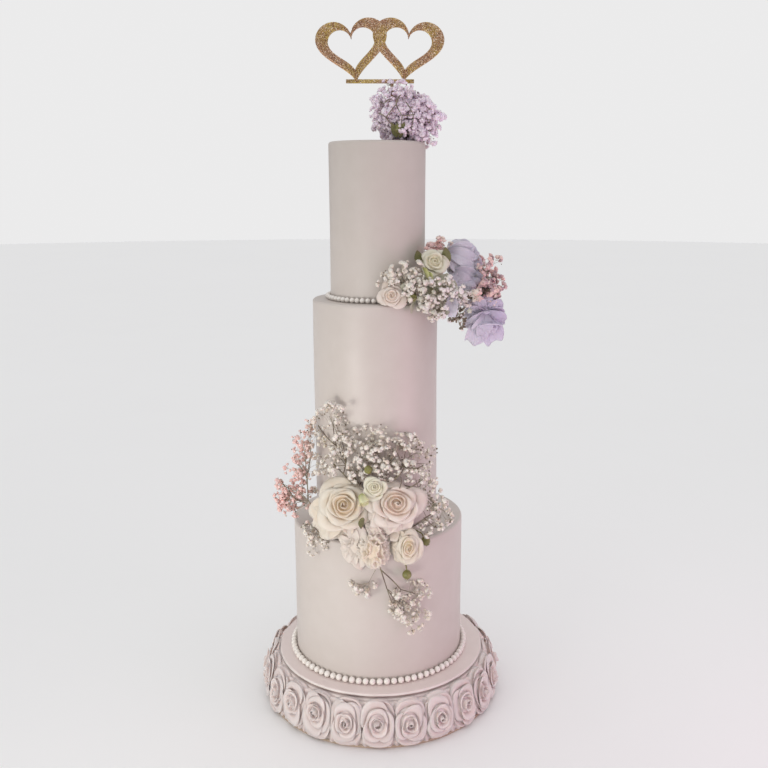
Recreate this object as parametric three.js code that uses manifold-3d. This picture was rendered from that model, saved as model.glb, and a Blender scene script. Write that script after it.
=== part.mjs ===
// A tall three-tier wedding cake with its round stand, whose side is a wreath of roses.
// Fresh roses, a carnation, buds and gypsophila drape over the lower ledge at the front and over the
// upper ledge at the right, and a glitter topper stands behind a last bunch of gypsophila.
// Millimetres, +Z up, front towards -Y, origin at the centre of the stand's underside.
import * as THREE from 'three';
import { mergeVertices } from 'three/addons/utils/BufferGeometryUtils.js';
import Module from 'manifold-3d';

const wasm = await Module();
wasm.setup();

// Driving dimensions
const GAP = 0.3; // left between pieces that touch
const SIDES = 36; // facets round each turned piece
const STAND = { foot: 196, footHeight: 4, skirt: 190, top: 176, height: 71.7 };
const WREATH = { count: 24, height: 42, halfWidth: 25.2, halfLength: 40.5, depth: 24.4, lean: 12 };
const BOARD = { radius: 174, floor: 72, top: 80, rim: 2.5 };
const TIERS = [
  { name: 'bottom', radius: 142, floor: 80.3, top: 315, shift: -3.6, pearl: 5.3, pitch: 11.3 },
  { name: 'middle', radius: 101, floor: 315.3, top: 681, shift: -6.2, pearl: 4.9, pitch: 10.6 },
  { name: 'top', radius: 76.2, floor: 681.3, top: 925, shift: -1.8, pearl: 4.2, pitch: 8.7 },
];
const EDGE = 6; // rounding of a tier's top edge
const TOPPER = { thick: 3, foot: 1013, halfWidth: 55, height: 93, stroke: 0.66, centres: [-39, 46],
  tilt: 0.12, bar: 6, barPast: 10 };
const STAKE = { x: 22, width: 5, depth: 70, overlap: 2 };
const STEMS = { flower: 2.2, bud: 1.1, spray: 1.3, sprig: 1.1, knot: 2.2 };

const finishes = {
  fondant: { color: 0xe9e2d8, roughness: 0.6 },
  pearl: { color: 0xf2ece4, roughness: 0.35 },
  satin: { color: 0xe4dcd8, roughness: 0.5 },
  cream: { color: 0xeadfca, roughness: 0.65 },
  blush: { color: 0xe8d2c8, roughness: 0.65 },
  lilac: { color: 0xc9c4dc, roughness: 0.65 },
  green: { color: 0x5f6a2c, roughness: 0.6 },
  gypsophila: { color: 0xd9d3cc, roughness: 0.8 },
  glitter: { color: 0xb98d62, roughness: 0.35, metalness: 0.7 },
};

const cake = new THREE.Group();

// ---------- closed surfaces from two parameters ----------

function closedGeometry(points, faces) {
  const geometry = new THREE.BufferGeometry();
  geometry.setAttribute('position', new THREE.Float32BufferAttribute(points.flat(), 3));
  geometry.setIndex(faces.flat());
  return geometry;
}

// Rings of points between two poles, from the tip on +Z outwards and back to the tail on -Z.
function domeGeometry(tip, tail, rings, segments, point) {
  const points = [tip];
  const faces = [];
  for (let ring = 0; ring < rings; ring += 1) {
    for (let side = 0; side < segments; side += 1) {
      points.push(point(ring, (side / segments) * 2 * Math.PI));
    }
  }
  points.push(tail);
  const last = points.length - 1;
  for (let side = 0; side < segments; side += 1) {
    const next = (side + 1) % segments;
    faces.push([0, 1 + side, 1 + next]);
    for (let ring = 0; ring + 1 < rings; ring += 1) {
      const inner = 1 + ring * segments;
      const outer = inner + segments;
      faces.push([inner + side, outer + side, outer + next]);
      faces.push([inner + side, outer + next, inner + next]);
    }
    const rim = 1 + (rings - 1) * segments;
    faces.push([rim + side, last, rim + next]);
  }
  return closedGeometry(points, faces);
}

// A ring of stations round +Z, each a small loop of points.
function ringGeometry(stations, loop, point) {
  const points = [];
  const faces = [];
  for (let station = 0; station < stations; station += 1) {
    const here = station * loop;
    const ahead = ((station + 1) % stations) * loop;
    for (let side = 0; side < loop; side += 1) {
      const next = (side + 1) % loop;
      points.push(point(station, side));
      faces.push([here + side, ahead + side, ahead + next]);
      faces.push([here + side, ahead + next, here + next]);
    }
  }
  return closedGeometry(points, faces);
}

function turned(profile) {
  const outline = profile.map(([radius, height]) => new THREE.Vector2(radius, height));
  const geometry = new THREE.LatheGeometry(outline, SIDES);
  return geometry.rotateX(Math.PI / 2);
}

// A stem between points: a thin rod with three sides that bends at each point.
function stemGeometry(points, radius) {
  const section = new THREE.Shape();
  for (let side = 0; side < 3; side += 1) {
    const angle = (side / 3) * 2 * Math.PI;
    if (side === 0) section.moveTo(radius, 0);
    else section.lineTo(radius * Math.cos(angle), radius * Math.sin(angle));
  }
  const path = new THREE.CurvePath();
  for (let i = 0; i + 1 < points.length; i += 1) {
    path.add(new THREE.LineCurve3(new THREE.Vector3(...points[i]), new THREE.Vector3(...points[i + 1])));
  }
  const settings = { steps: points.length - 1, extrudePath: path, bevelEnabled: false };
  return new THREE.ExtrudeGeometry(section, settings);
}

// ---------- solids ----------

function merged(geometry) {
  const bare = new THREE.BufferGeometry();
  const source = geometry.index ? geometry.toNonIndexed() : geometry;
  bare.setAttribute('position', source.getAttribute('position').clone());
  return mergeVertices(bare, 1e-3);
}

function solidFrom(geometry) {
  const welded = merged(geometry);
  const vertProperties = new Float32Array(welded.attributes.position.array);
  const triVerts = new Uint32Array(welded.index.array);
  return new wasm.Manifold(new wasm.Mesh({ numProp: 3, vertProperties, triVerts }));
}

function geometryFrom(solid) {
  const mesh = solid.getMesh();
  const geometry = new THREE.BufferGeometry();
  geometry.setAttribute('position', new THREE.BufferAttribute(mesh.vertProperties, 3));
  geometry.setIndex(new THREE.BufferAttribute(mesh.triVerts, 1));
  return geometry;
}

function joined(solids) {
  return solids.reduce((whole, next) => whole.add(next));
}

function largest(solid) {
  const pieces = solid.decompose();
  return pieces.reduce((best, piece) => (piece.volume() > best.volume() ? piece : best));
}

// The solid grown outwards along its vertex normals, used to cut clearance into a neighbour.
function puffed(solid, distance) {
  const geometry = merged(geometryFrom(solid));
  geometry.computeVertexNormals();
  const place = geometry.attributes.position;
  const normal = geometry.attributes.normal;
  for (let i = 0; i < place.count; i += 1) {
    const x = place.getX(i) + distance * normal.getX(i);
    const y = place.getY(i) + distance * normal.getY(i);
    const z = place.getZ(i) + distance * normal.getZ(i);
    place.setXYZ(i, x, y, z);
  }
  return solidFrom(geometry);
}

function seeded(seed) {
  let state = seed;
  return () => {
    state = (state * 1664525 + 1013904223) % 4294967296;
    return state / 4294967296;
  };
}

// ---------- placing ----------

const standing = []; // solids that later pieces are cut clear of

function addPiece(name, geometry, finish) {
  const mesh = new THREE.Mesh(geometry, new THREE.MeshStandardMaterial(finishes[finish]));
  mesh.name = name;
  cake.add(mesh);
  return mesh;
}

function overlaps(one, other) {
  const a = one.boundingBox();
  const b = other.boundingBox();
  return [0, 1, 2].every((axis) => a.min[axis] < b.max[axis] && b.min[axis] < a.max[axis]);
}

// Cuts a solid clear of everything placed before it, keeps its largest body and adds it.
function addFitted(name, solid, finish) {
  let fitted = solid;
  for (const cutter of standing) {
    if (overlaps(fitted, cutter)) fitted = fitted.subtract(cutter);
  }
  fitted = largest(fitted).simplify(0.2);
  standing.push(puffed(fitted, 2 * GAP));
  return addPiece(name, geometryFrom(fitted), finish);
}

// The matrix that stands a flower, open towards +Z, at a place and turns it to face a direction.
function facing(place, direction) {
  const turn = new THREE.Quaternion();
  turn.setFromUnitVectors(new THREE.Vector3(0, 0, 1), new THREE.Vector3(...direction).normalize());
  return new THREE.Matrix4().compose(new THREE.Vector3(...place), turn, new THREE.Vector3(1, 1, 1));
}

// ---------- stand, board and tiers ----------

function addStand() {
  const { foot, footHeight, skirt, top, height } = STAND;
  addPiece('stand_base', turned([[0, 0], [foot, 0], [foot, footHeight], [skirt, footHeight + 1],
    [top, height], [0, height]]), 'satin');
  const { radius, floor, top: boardTop, rim } = BOARD;
  addPiece('cake_board', turned([[0, floor], [radius, floor], [radius, boardTop - rim],
    [radius - rim, boardTop], [0, boardTop]]), 'fondant');
}

// One rose of the wreath: a long dome with a spiral lip, flat at the back and squarish in outline,
// so that its neighbours meet it along their sides.
function wreathRose() {
  const { halfWidth, halfLength, depth } = WREATH;
  const rings = [[0.2, 1], [0.42, 0.8], [0.68, 0.86], [1, 0.4], [0.86, 0]];
  const segments = 8;
  const square = (part) => Math.sign(part) * Math.abs(part) ** 0.62;
  return domeGeometry([0, 0, 0.86 * depth], [0, 0, 0], rings.length, segments, (ring, angle) => {
    const [spread, rise] = rings[ring];
    const inner = ring < 3 ? 1 : 0;
    const lobe = 1 + 0.1 * inner * Math.cos(angle - 1.4 * ring);
    const lip = rise * (1 + 0.06 * inner * Math.sin(angle * 2 + ring));
    const turn = angle + Math.PI / segments;
    const x = halfWidth * spread * lobe * square(Math.cos(turn));
    const y = halfLength * spread * lobe * square(Math.sin(turn));
    return [x, y, Math.min(lip, 1) * depth];
  });
}

function addWreath() {
  const rose = wreathRose();
  const lean = THREE.MathUtils.degToRad(WREATH.lean);
  const slope = (STAND.skirt - STAND.top) / (STAND.height - STAND.footHeight - 1);
  const wall = STAND.skirt - slope * (WREATH.height - STAND.footHeight - 1);
  for (let i = 0; i < WREATH.count; i += 1) {
    const place = new THREE.Group();
    place.rotation.z = (i / WREATH.count) * 2 * Math.PI;
    const number = String(i + 1).padStart(2, '0');
    const mesh = addPiece(`stand_rose_${number}`, rose, 'satin');
    const out = new THREE.Vector3(Math.cos(lean), 0, Math.sin(lean));
    const up = new THREE.Vector3(-Math.sin(lean), 0, Math.cos(lean));
    const along = new THREE.Vector3().crossVectors(up, out);
    mesh.quaternion.setFromRotationMatrix(new THREE.Matrix4().makeBasis(along, up, out));
    mesh.position.set(wall + GAP / Math.cos(lean), 0, WREATH.height);
    place.add(mesh);
    cake.add(place);
  }
}

function tierProfile({ radius, floor, top }, grow) {
  const r = radius + grow;
  const soft = 0.3 * EDGE;
  return [[0, floor - grow], [r, floor - grow], [r, top - EDGE + grow], [r - soft, top - soft + grow],
    [r - EDGE, top + grow], [0, top + grow]];
}

function stakeGeometry(grow) {
  const top = TOPPER.foot + STAKE.overlap + grow;
  const length = top - (TIERS[2].top - STAKE.depth - grow);
  const stake = new THREE.BoxGeometry(STAKE.width + 2 * grow, TOPPER.thick + 2 * grow, length);
  return stake.translate(STAKE.x, 0, top - length / 2);
}

function addTiers() {
  for (const tier of TIERS) {
    let geometry = turned(tierProfile(tier, 0)).translate(tier.shift, 0, 0);
    if (tier.name === 'top') {
      const slot = solidFrom(stakeGeometry(GAP));
      geometry = geometryFrom(solidFrom(geometry).subtract(slot));
    }
    addPiece(`tier_${tier.name}`, geometry, 'fondant');
    standing.push(solidFrom(turned(tierProfile(tier, GAP)).translate(tier.shift, 0, 0)));
  }
}

// A string of pearls round a tier's foot: one ring whose three-sided section swells and narrows once
// a pearl, with one corner hidden against the wall and the board.
function addPearls() {
  for (const { name, radius, floor, shift, pearl, pitch } of TIERS) {
    const line = radius + GAP + pearl;
    const count = Math.round((2 * Math.PI * line) / pitch);
    const corners = [0.05 * Math.PI, 0.6 * Math.PI, 1.25 * Math.PI];
    const geometry = ringGeometry(2 * count, corners.length, (station, side) => {
      const turn = (station / count) * Math.PI;
      const size = station % 2 ? 0.5 * pearl : pearl;
      const out = line + size * Math.cos(corners[side]);
      const up = floor + pearl + size * Math.sin(corners[side]);
      return [shift + out * Math.cos(turn), out * Math.sin(turn), up];
    });
    const string = solidFrom(geometry);
    addPiece(`pearls_${name}`, geometry, 'pearl');
    standing.push(puffed(string, GAP));
  }
}

// ---------- topper ----------

// A heart's outline round its own origin: x = sin^3 t and y from four cosines over 29, so that its
// tip lies 17/29 of its height below.
function heartShape(scale) {
  const steps = 22;
  const points = [];
  for (let i = 0; i < steps; i += 1) {
    const t = (i / steps) * 2 * Math.PI;
    const x = Math.sin(t) ** 3;
    const y = (13 * Math.cos(t) - 5 * Math.cos(2 * t) - 2 * Math.cos(3 * t) - Math.cos(4 * t)) / 29;
    points.push(new THREE.Vector2(-TOPPER.halfWidth * scale * x, TOPPER.height * (scale * y)));
  }
  return new THREE.Shape(points);
}

function heartRing(centre, tilt) {
  const thick = TOPPER.thick;
  const plate = { depth: thick, bevelEnabled: false };
  const outer = solidFrom(new THREE.ExtrudeGeometry(heartShape(1), plate));
  const hole = new THREE.ExtrudeGeometry(heartShape(TOPPER.stroke), { ...plate, depth: 3 * thick });
  const ring = outer.subtract(solidFrom(hole.translate(0, 0, -thick)));
  const upright = geometryFrom(ring).rotateX(Math.PI / 2).rotateY(tilt);
  return solidFrom(upright.translate(centre, thick / 2, TOPPER.foot + (TOPPER.height * 17) / 29));
}

function addTopper() {
  const [left, right] = TOPPER.centres;
  const { tilt, bar, barPast } = TOPPER;
  const foot = new THREE.BoxGeometry(right - left + 2 * barPast, TOPPER.thick, bar);
  foot.translate((left + right) / 2, 0, TOPPER.foot + bar / 2);
  const hearts = [heartRing(left, -tilt), heartRing(right, tilt)];
  const parts = [...hearts, solidFrom(foot), solidFrom(stakeGeometry(0))];
  const topper = joined(parts);
  standing.push(puffed(topper, 2 * GAP));
  addPiece('topper_hearts', geometryFrom(topper), 'glitter');
}

// ---------- flowers ----------

// A rose head: a dome of rings, every other one a raised petal lip, over a cup and a short stem.
function roseHead({ radius, depth, lips, segments, stretch = 1, seed = 1 }) {
  const random = seeded(seed);
  const rings = [];
  for (let lip = 0; lip < lips; lip += 1) {
    const spread = (lip + 0.55) / lips;
    const crest = 1 - 0.62 * spread ** 2;
    rings.push({ spread: spread * 0.92, rise: crest, wave: 0.07, phase: random() * 6 });
    if (lip + 1 < lips) {
      rings.push({ spread: spread * 0.92 + 0.1, rise: crest - 0.26, wave: 0.03, phase: random() * 6 });
    }
  }
  rings.push({ spread: 1, rise: 0.22, wave: 0.05, phase: random() * 6 });
  rings.push({ spread: 0.82, rise: -0.12, wave: 0.03, phase: random() * 6 });
  rings.push({ spread: 0.24, rise: -0.62, wave: 0, phase: 0 });
  const tip = [0, 0, 0.9 * depth];
  const tail = [0, 0, -0.7 * depth];
  return domeGeometry(tip, tail, rings.length, segments, (ring, angle) => {
    const { spread, rise, wave, phase } = rings[ring];
    const petals = ring < 2 ? 2 : 5;
    const out = radius * spread * (1 + wave * Math.cos(petals * angle + phase));
    const height = depth * (rise + wave * Math.sin(petals * angle + phase));
    return [out * Math.cos(angle), stretch * out * Math.sin(angle), height];
  });
}

// A frilled head: every ring of petals is a zigzag, deeper towards the rim.
function frilledHead({ radius, depth, stretch = 1, segments, seed = 1 }) {
  const random = seeded(seed);
  const shells = [[0.22, 0.95], [0.45, 0.78], [0.7, 0.66], [1, 0.24], [0.7, -0.2], [0.2, -0.55]];
  const phases = shells.map(() => random() * 6);
  return domeGeometry([0, 0, depth], [0, 0, -0.6 * depth], shells.length, segments, (ring, angle) => {
    const [spread, rise] = shells[ring];
    const frill = ring < 4 ? 0.1 : 0.02;
    const side = Math.round((angle / (2 * Math.PI)) * segments);
    const zigzag = (side + ring) % 2 ? 1 : -1;
    const lobe = 1 + 0.08 * Math.cos(3 * angle + phases[ring]) + frill * zigzag;
    const out = radius * spread * lobe;
    return [out * Math.cos(angle), stretch * out * Math.sin(angle), depth * (rise - frill * zigzag)];
  });
}

// A stem from the flower's back to the cake, as a solid.
function stemSolid(points, radius) {
  return solidFrom(stemGeometry(points, radius));
}

const FLOWERS = [
  // front cluster on the lower ledge
  { name: 'rose_front_left', head: roseHead, at: [-51, -136, 379], face: [-0.3, -0.9, 0.3], finish: 'cream',
    radius: 37, depth: 32, lips: 4, segments: 14, stem: [[-44, -118, 372], [-38, -98, 362]], seed: 3 },
  { name: 'rose_front_right', head: roseHead, at: [30, -141, 382], face: [0.24, -0.92, 0.3], finish: 'blush',
    radius: 40, depth: 33, lips: 4, segments: 14, stem: [[22, -120, 374], [16, -100, 364]], seed: 7 },
  { name: 'rose_front_small', head: roseHead, at: [-5, -150, 411], face: [-0.02, -0.86, 0.5], finish: 'cream',
    radius: 16, depth: 17, lips: 2, segments: 12, stem: [[-4, -140, 404], [-4, -101, 392]], seed: 5 },
  { name: 'rose_front_spray', head: roseHead, at: [50, -155, 318], face: [0.28, -0.94, -0.1], finish: 'cream',
    radius: 18, depth: 17, lips: 3, segments: 12, stretch: 1.5, stem: [[47, -145, 318], [38, -128, 325]],
    seed: 11 },
  { name: 'carnation_front', head: frilledHead, at: [-4, -160, 318], face: [0, -0.96, -0.15], finish: 'cream',
    radius: 26, depth: 18, stretch: 1.38, segments: 16, stem: [[-4, -152, 322], [-3, -124, 332]], seed: 13 },
  { name: 'bloom_front_white', head: frilledHead, at: [-49, -153, 323], face: [-0.3, -0.93, -0.1],
    finish: 'fondant', radius: 24, depth: 15, stretch: 1.3, segments: 14,
    stem: [[-47, -145, 322], [-42, -122, 330]], seed: 17 },
  // side cluster on the upper ledge
  { name: 'rose_side_cream', head: roseHead, at: [22, -92, 694], face: [0.08, -0.93, 0.3], finish: 'cream',
    radius: 17, depth: 13, lips: 3, segments: 12, stem: [[22, -86, 692], [26, -80, 688]], seed: 19 },
  { name: 'rose_side_green', head: roseHead, at: [84, -62, 739], face: [0.22, -0.86, 0.42], finish: 'cream',
    radius: 19, depth: 19, lips: 3, segments: 12, stem: [[80, -52, 732], [72, -44, 700]], seed: 23 },
  { name: 'bloom_side_upper', head: roseHead, at: [127, -30, 757], face: [0.35, -0.8, 0.5], finish: 'lilac',
    radius: 24, depth: 20, lips: 2, segments: 12, stem: [[120, -20, 746], [82, -22, 690]], seed: 29 },
  { name: 'bloom_side_middle', head: roseHead, at: [132, -50, 722], face: [0.35, -0.92, 0.1], finish: 'lilac',
    radius: 24, depth: 18, lips: 2, segments: 12, stem: [[126, -42, 718], [88, -28, 688]], seed: 31 },
  { name: 'bloom_side_lower', head: roseHead, at: [167, -36, 646], face: [0.42, -0.85, -0.3], finish: 'lilac',
    radius: 34, depth: 27, lips: 3, segments: 14, stem: [[156, -26, 658], [92, -18, 690]], seed: 37 },
];

function addFlowers() {
  for (const { name, head, at, face, finish, stem, ...shape } of FLOWERS) {
    const bloom = solidFrom(head(shape).applyMatrix4(facing(at, face)));
    addFitted(name, bloom.add(stemSolid([at, ...stem], STEMS.flower)), finish);
  }
}

// ---------- buds and leaves ----------

const BUDS = [
  { name: 'bud_front_yellow', at: [-20, -159, 396], size: 7.5, stem: [[-18, -140, 390], [-14, -103, 384]] },
  { name: 'bud_front_olive', at: [-14, -136, 434], size: 6.5, stem: [[-12, -120, 428], [-10, -101, 420]] },
  { name: 'bud_front_right', at: [74, -134, 318], size: 7.2, stem: [[68, -128, 328], [52, -120, 334]] },
  { name: 'bud_front_low', at: [45, -147, 268], size: 7.2, stem: [[44, -148, 282], [36, -146, 300]] },
  { name: 'bud_top', at: [33, -38, 944], size: 8.5, stem: [[34, -34, 936], [36, -30, 925.6]] },
];

function addBuds() {
  for (const { name, at, size, stem } of BUDS) {
    const rings = [[0.35, 1.12], [0.95, 0.4], [0.85, -0.55]];
    const bud = domeGeometry([0, 0, 0.8 * size], [0, 0, -size], rings.length, 7, (ring, angle) => {
      const [spread, rise] = rings[ring];
      return [size * spread * Math.cos(angle), size * spread * Math.sin(angle), size * rise];
    });
    const away = [at[0] - stem[0][0], at[1] - stem[0][1], at[2] - stem[0][2]];
    const solid = solidFrom(bud.applyMatrix4(facing(at, away)));
    addFitted(name, solid.add(stemSolid([at, ...stem], STEMS.bud)), 'green');
  }
}

const LEAVES = [
  { name: 'leaf_front', at: [-18, -146, 374], face: [-0.18, -0.5, -0.85], length: 34, width: 15 },
  { name: 'leaf_side_left', at: [64, -64, 722], face: [-0.12, -0.28, 0.95], length: 38, width: 14 },
  { name: 'leaf_side_right', at: [100, -46, 728], face: [0.1, -0.3, 0.95], length: 36, width: 15 },
];

// A thin leaf along +Z: both faces split alike, folded at the rib and bent over its length.
function leafGeometry({ length, width }) {
  const steps = 5;
  const thick = 0.9;
  const points = [];
  const faces = [];
  for (let i = 0; i <= steps; i += 1) {
    const along = i / steps;
    const half = 0.5 + (width / 2) * Math.sin(Math.PI * Math.min(along ** 0.8, 1)) ** 0.8;
    for (const side of [-1, 0, 1]) {
      const fold = 0.22 * Math.abs(side) * half;
      const bend = 0.12 * length * along ** 2 + 0.04 * width * Math.sin(9 * along) * side;
      for (const face of [0, thick]) points.push([side * half, fold - bend + face, along * length]);
    }
  }
  const at = (i, side, face) => i * 6 + side * 2 + face;
  const quad = (a, b, c, d) => faces.push([a, b, c], [a, c, d]);
  for (let i = 0; i < steps; i += 1) {
    for (const side of [0, 1]) {
      quad(at(i, side, 0), at(i, side + 1, 0), at(i + 1, side + 1, 0), at(i + 1, side, 0));
      quad(at(i, side, 1), at(i + 1, side, 1), at(i + 1, side + 1, 1), at(i, side + 1, 1));
    }
    quad(at(i, 0, 0), at(i + 1, 0, 0), at(i + 1, 0, 1), at(i, 0, 1));
    quad(at(i, 2, 0), at(i, 2, 1), at(i + 1, 2, 1), at(i + 1, 2, 0));
  }
  for (const side of [0, 1]) {
    quad(at(0, side, 0), at(0, side, 1), at(0, side + 1, 1), at(0, side + 1, 0));
    quad(at(steps, side, 0), at(steps, side + 1, 0), at(steps, side + 1, 1), at(steps, side, 1));
  }
  return closedGeometry(points, faces);
}

function addLeaves() {
  for (const leaf of LEAVES) {
    addFitted(leaf.name, solidFrom(leafGeometry(leaf).applyMatrix4(facing(leaf.at, leaf.face))), 'green');
  }
}

// ---------- gypsophila ----------

// Each spray forks at a node into stems, and every stem ends in a cluster: x, y, z and its reach.
const SPRAYS = {
  gypsophila_front_left: [
    { from: [-84, -100, 322], fork: [-112, -90, 368],
      tips: [[-150, -66, 392, 13], [-160, -64, 362, 14], [-178, -60, 350, 9], [-134, -62, 372, 10]] },
    { from: [-112, -90, 368], fork: [-116, -76, 408],
      tips: [[-130, -62, 436, 16], [-150, -58, 412, 10], [-120, -60, 472, 15]] },
    { from: [-84, -100, 322], fork: [-94, -118, 336],
      tips: [[-104, -113, 309, 13], [-90, -124, 320, 9], [-108, -106, 330, 9]] },
  ],
  gypsophila_front_upper: [
    { from: [-30, -102, 396], fork: [-50, -108, 432],
      tips: [[-66, -100, 504, 16], [-53, -108, 488, 11], [-80, -92, 520, 8], [-78, -94, 458, 14],
        [-74, -112, 428, 14], [-52, -116, 446, 15]] },
    { from: [-30, -102, 396], fork: [-16, -108, 424],
      tips: [[-34, -114, 458, 15], [-14, -114, 462, 13], [2, -116, 448, 14], [-30, -122, 436, 12]] },
  ],
  gypsophila_front_right: [
    { from: [24, -103, 404], fork: [38, -106, 430],
      tips: [[26, -112, 462, 9], [44, -108, 462, 14], [66, -102, 454, 14], [78, -96, 432, 12]] },
    { from: [24, -103, 404], fork: [62, -116, 398],
      tips: [[80, -104, 408, 12], [88, -116, 378, 15], [98, -122, 356, 13], [80, -136, 346, 11],
        [112, -110, 350, 10]] },
  ],
  gypsophila_front_lower: [
    { from: [2, -150, 286], fork: [14, -151, 246],
      tips: [[30, -149, 230, 9], [44, -150, 210, 13], [64, -142, 204, 12], [50, -150, 190, 10],
        [-24, -150, 250, 9]] },
    { from: [4, -151, 278], fork: [36, -148, 243], tips: [[58, -144, 236, 11], [74, -135, 220, 7]] },
  ],
  gypsophila_side_left: [
    { from: [52, -82, 684], fork: [48, -88, 700],
      tips: [[14, -93, 720, 11], [30, -93, 732, 12], [48, -86, 734, 11], [44, -96, 714, 13],
        [62, -86, 710, 12], [50, -98, 694, 10]] },
    { from: [52, -82, 684], fork: [84, -84, 696],
      tips: [[92, -88, 712, 14], [74, -94, 690, 13], [92, -92, 684, 11], [108, -80, 692, 13],
        [100, -84, 668, 11]] },
  ],
  gypsophila_side_right: [
    { from: [92, -6, 684], fork: [138, 2, 712],
      tips: [[166, -24, 744, 15], [184, -18, 724, 14], [178, -26, 700, 16], [150, -8, 768, 12],
        [162, -36, 722, 13], [190, -6, 706, 11], [160, -44, 698, 12], [136, -62, 688, 10],
        [144, -16, 684, 13]] },
  ],
};

// One stem that starts at a point on +Z = 0 and ends in a cluster: seven blunt florets round a core.
function sprigGeometry(length, reach, random) {
  const twist = 2 * Math.PI * random();
  const crown = [0.8 + 0.2 * random(), 0.36];
  const belly = [0.45, 0.9 + 0.2 * random()];
  const rings = [[crown, length + 0.5 * reach], [belly, length - 0.1 * reach]];
  const neck = Math.max(length - 0.75 * reach, 0.3 * length);
  const tip = [0, 0, length + reach];
  return domeGeometry(tip, [0, 0, 0], 3, 6, (ring, angle) => {
    const [spreads, height] = ring < 2 ? rings[ring] : [[0, 0], neck];
    const side = Math.round((3 * angle) / Math.PI) % 2;
    const out = ring < 2 ? reach * spreads[side] : STEMS.sprig;
    return [out * Math.cos(angle + twist), out * Math.sin(angle + twist), height];
  });
}

function addGypsophila() {
  for (const [name, branches] of Object.entries(SPRAYS)) {
    const random = seeded(name.length * 977);
    const parts = [];
    for (const { from, fork, tips } of branches) {
      parts.push(stemSolid([from, fork], STEMS.spray));
      const knot = new THREE.OctahedronGeometry(STEMS.knot).translate(...fork);
      parts.push(solidFrom(knot));
      for (const [x, y, z, reach] of tips) {
        const along = [x - fork[0], y - fork[1], z - fork[2]];
        const sprig = sprigGeometry(Math.hypot(...along), reach, random);
        parts.push(solidFrom(sprig.applyMatrix4(facing(fork, along))));
      }
    }
    addFitted(name, joined(parts), 'gypsophila');
  }
}

const BUNCH = { at: [45, -4, 963], half: [56, 46, 50], florets: 9 };

// The bunch on the top tier: a rough ball, narrower below, with larger florets fused on.
function addTopBunch() {
  const random = seeded(41);
  const { at, half, florets } = BUNCH;
  const narrow = (rise) => (rise < 0 ? 1 + 0.25 * rise : 1);
  const ball = merged(new THREE.IcosahedronGeometry(1, 2));
  const place = ball.attributes.position;
  const swell = (x, y, z) => 0.9 + 0.07 * Math.sin(5 * x + 1) * Math.cos(4 * y) + 0.05 * Math.sin(6 * z);
  for (let i = 0; i < place.count; i += 1) {
    const spot = [place.getX(i), place.getY(i), place.getZ(i)];
    const size = (swell(...spot) + 0.16 * (random() - 0.5)) * narrow(spot[2]);
    place.setXYZ(i, ...spot.map((part, axis) => at[axis] + half[axis] * size * part));
  }
  const parts = [solidFrom(ball)];
  for (let i = 0; i < florets; i += 1) {
    const rise = 1 - (1.7 * i + 1) / florets;
    const flat = Math.sqrt(1 - rise * rise);
    const out = [flat * Math.cos(2.4 * i), flat * Math.sin(2.4 * i), rise];
    const size = swell(...out) * narrow(rise);
    const floret = new THREE.OctahedronGeometry(6.5).scale(1, 1, 0.7);
    const spot = out.map((part, axis) => at[axis] + half[axis] * size * part);
    parts.push(solidFrom(floret.applyMatrix4(facing(spot, out))));
  }
  addFitted('gypsophila_top', joined(parts), 'gypsophila');
}

addStand();
addWreath();
addTiers();
addPearls();
addTopper();
addFlowers();
addBuds();
addLeaves();
addGypsophila();
addTopBunch();

export default cake;
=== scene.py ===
import math

import bpy
import numpy as np
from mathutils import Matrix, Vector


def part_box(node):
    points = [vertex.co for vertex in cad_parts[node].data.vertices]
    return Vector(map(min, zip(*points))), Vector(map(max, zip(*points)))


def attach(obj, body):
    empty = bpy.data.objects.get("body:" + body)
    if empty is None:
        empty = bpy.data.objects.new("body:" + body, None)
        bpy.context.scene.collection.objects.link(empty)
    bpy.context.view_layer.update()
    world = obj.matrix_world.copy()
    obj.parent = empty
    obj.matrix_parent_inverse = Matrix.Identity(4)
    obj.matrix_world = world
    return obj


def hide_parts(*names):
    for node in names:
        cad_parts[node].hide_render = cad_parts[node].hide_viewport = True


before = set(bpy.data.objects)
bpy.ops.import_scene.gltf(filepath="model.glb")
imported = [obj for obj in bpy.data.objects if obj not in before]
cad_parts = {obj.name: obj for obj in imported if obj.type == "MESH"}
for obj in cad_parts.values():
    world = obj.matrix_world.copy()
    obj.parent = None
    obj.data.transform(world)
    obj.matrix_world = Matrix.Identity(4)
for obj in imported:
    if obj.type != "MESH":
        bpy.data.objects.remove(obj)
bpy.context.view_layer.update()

mm = 0.001  # the settings and arrays below are in millimetres, makePiece turns them into metres

cameraSetup = {
    "place": (0.042, -1.4277, 0.854),
    "pitch": 78.43,  # degrees up from straight down
    "lens": 41.5,
    "sensor": 36.0,
    "shift": (-0.0273, -0.0185),
    "clipEnd": 60,
}
# A row of the lights is name, place, width, power, colour and spread in degrees.
studio = {
    "floorRadius": 14.0,
    "floorTones": ((0.93, 0.928, 0.925), (0.915, 0.912, 0.908)),
    "skyColour": (0.835, 0.832, 0.834),  # what the camera sees past the floor's edge
    "worldColour": (0.98, 0.98, 0.99),
    "worldStrength": (0.25, 1.13),  # at the horizon and overhead
    "target": (0.0, 0.0, 0.3),
    "lights": [
        ("keyLight", (-0.85, -1.2, 0.12), 0.7, 2.1, (1.0, 0.97, 0.92), 76),
        ("sideLight", (1.15, -0.75, 0.1), 0.8, 4.3, (1.0, 0.38, 0.68), 180),
    ],
}


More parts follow.
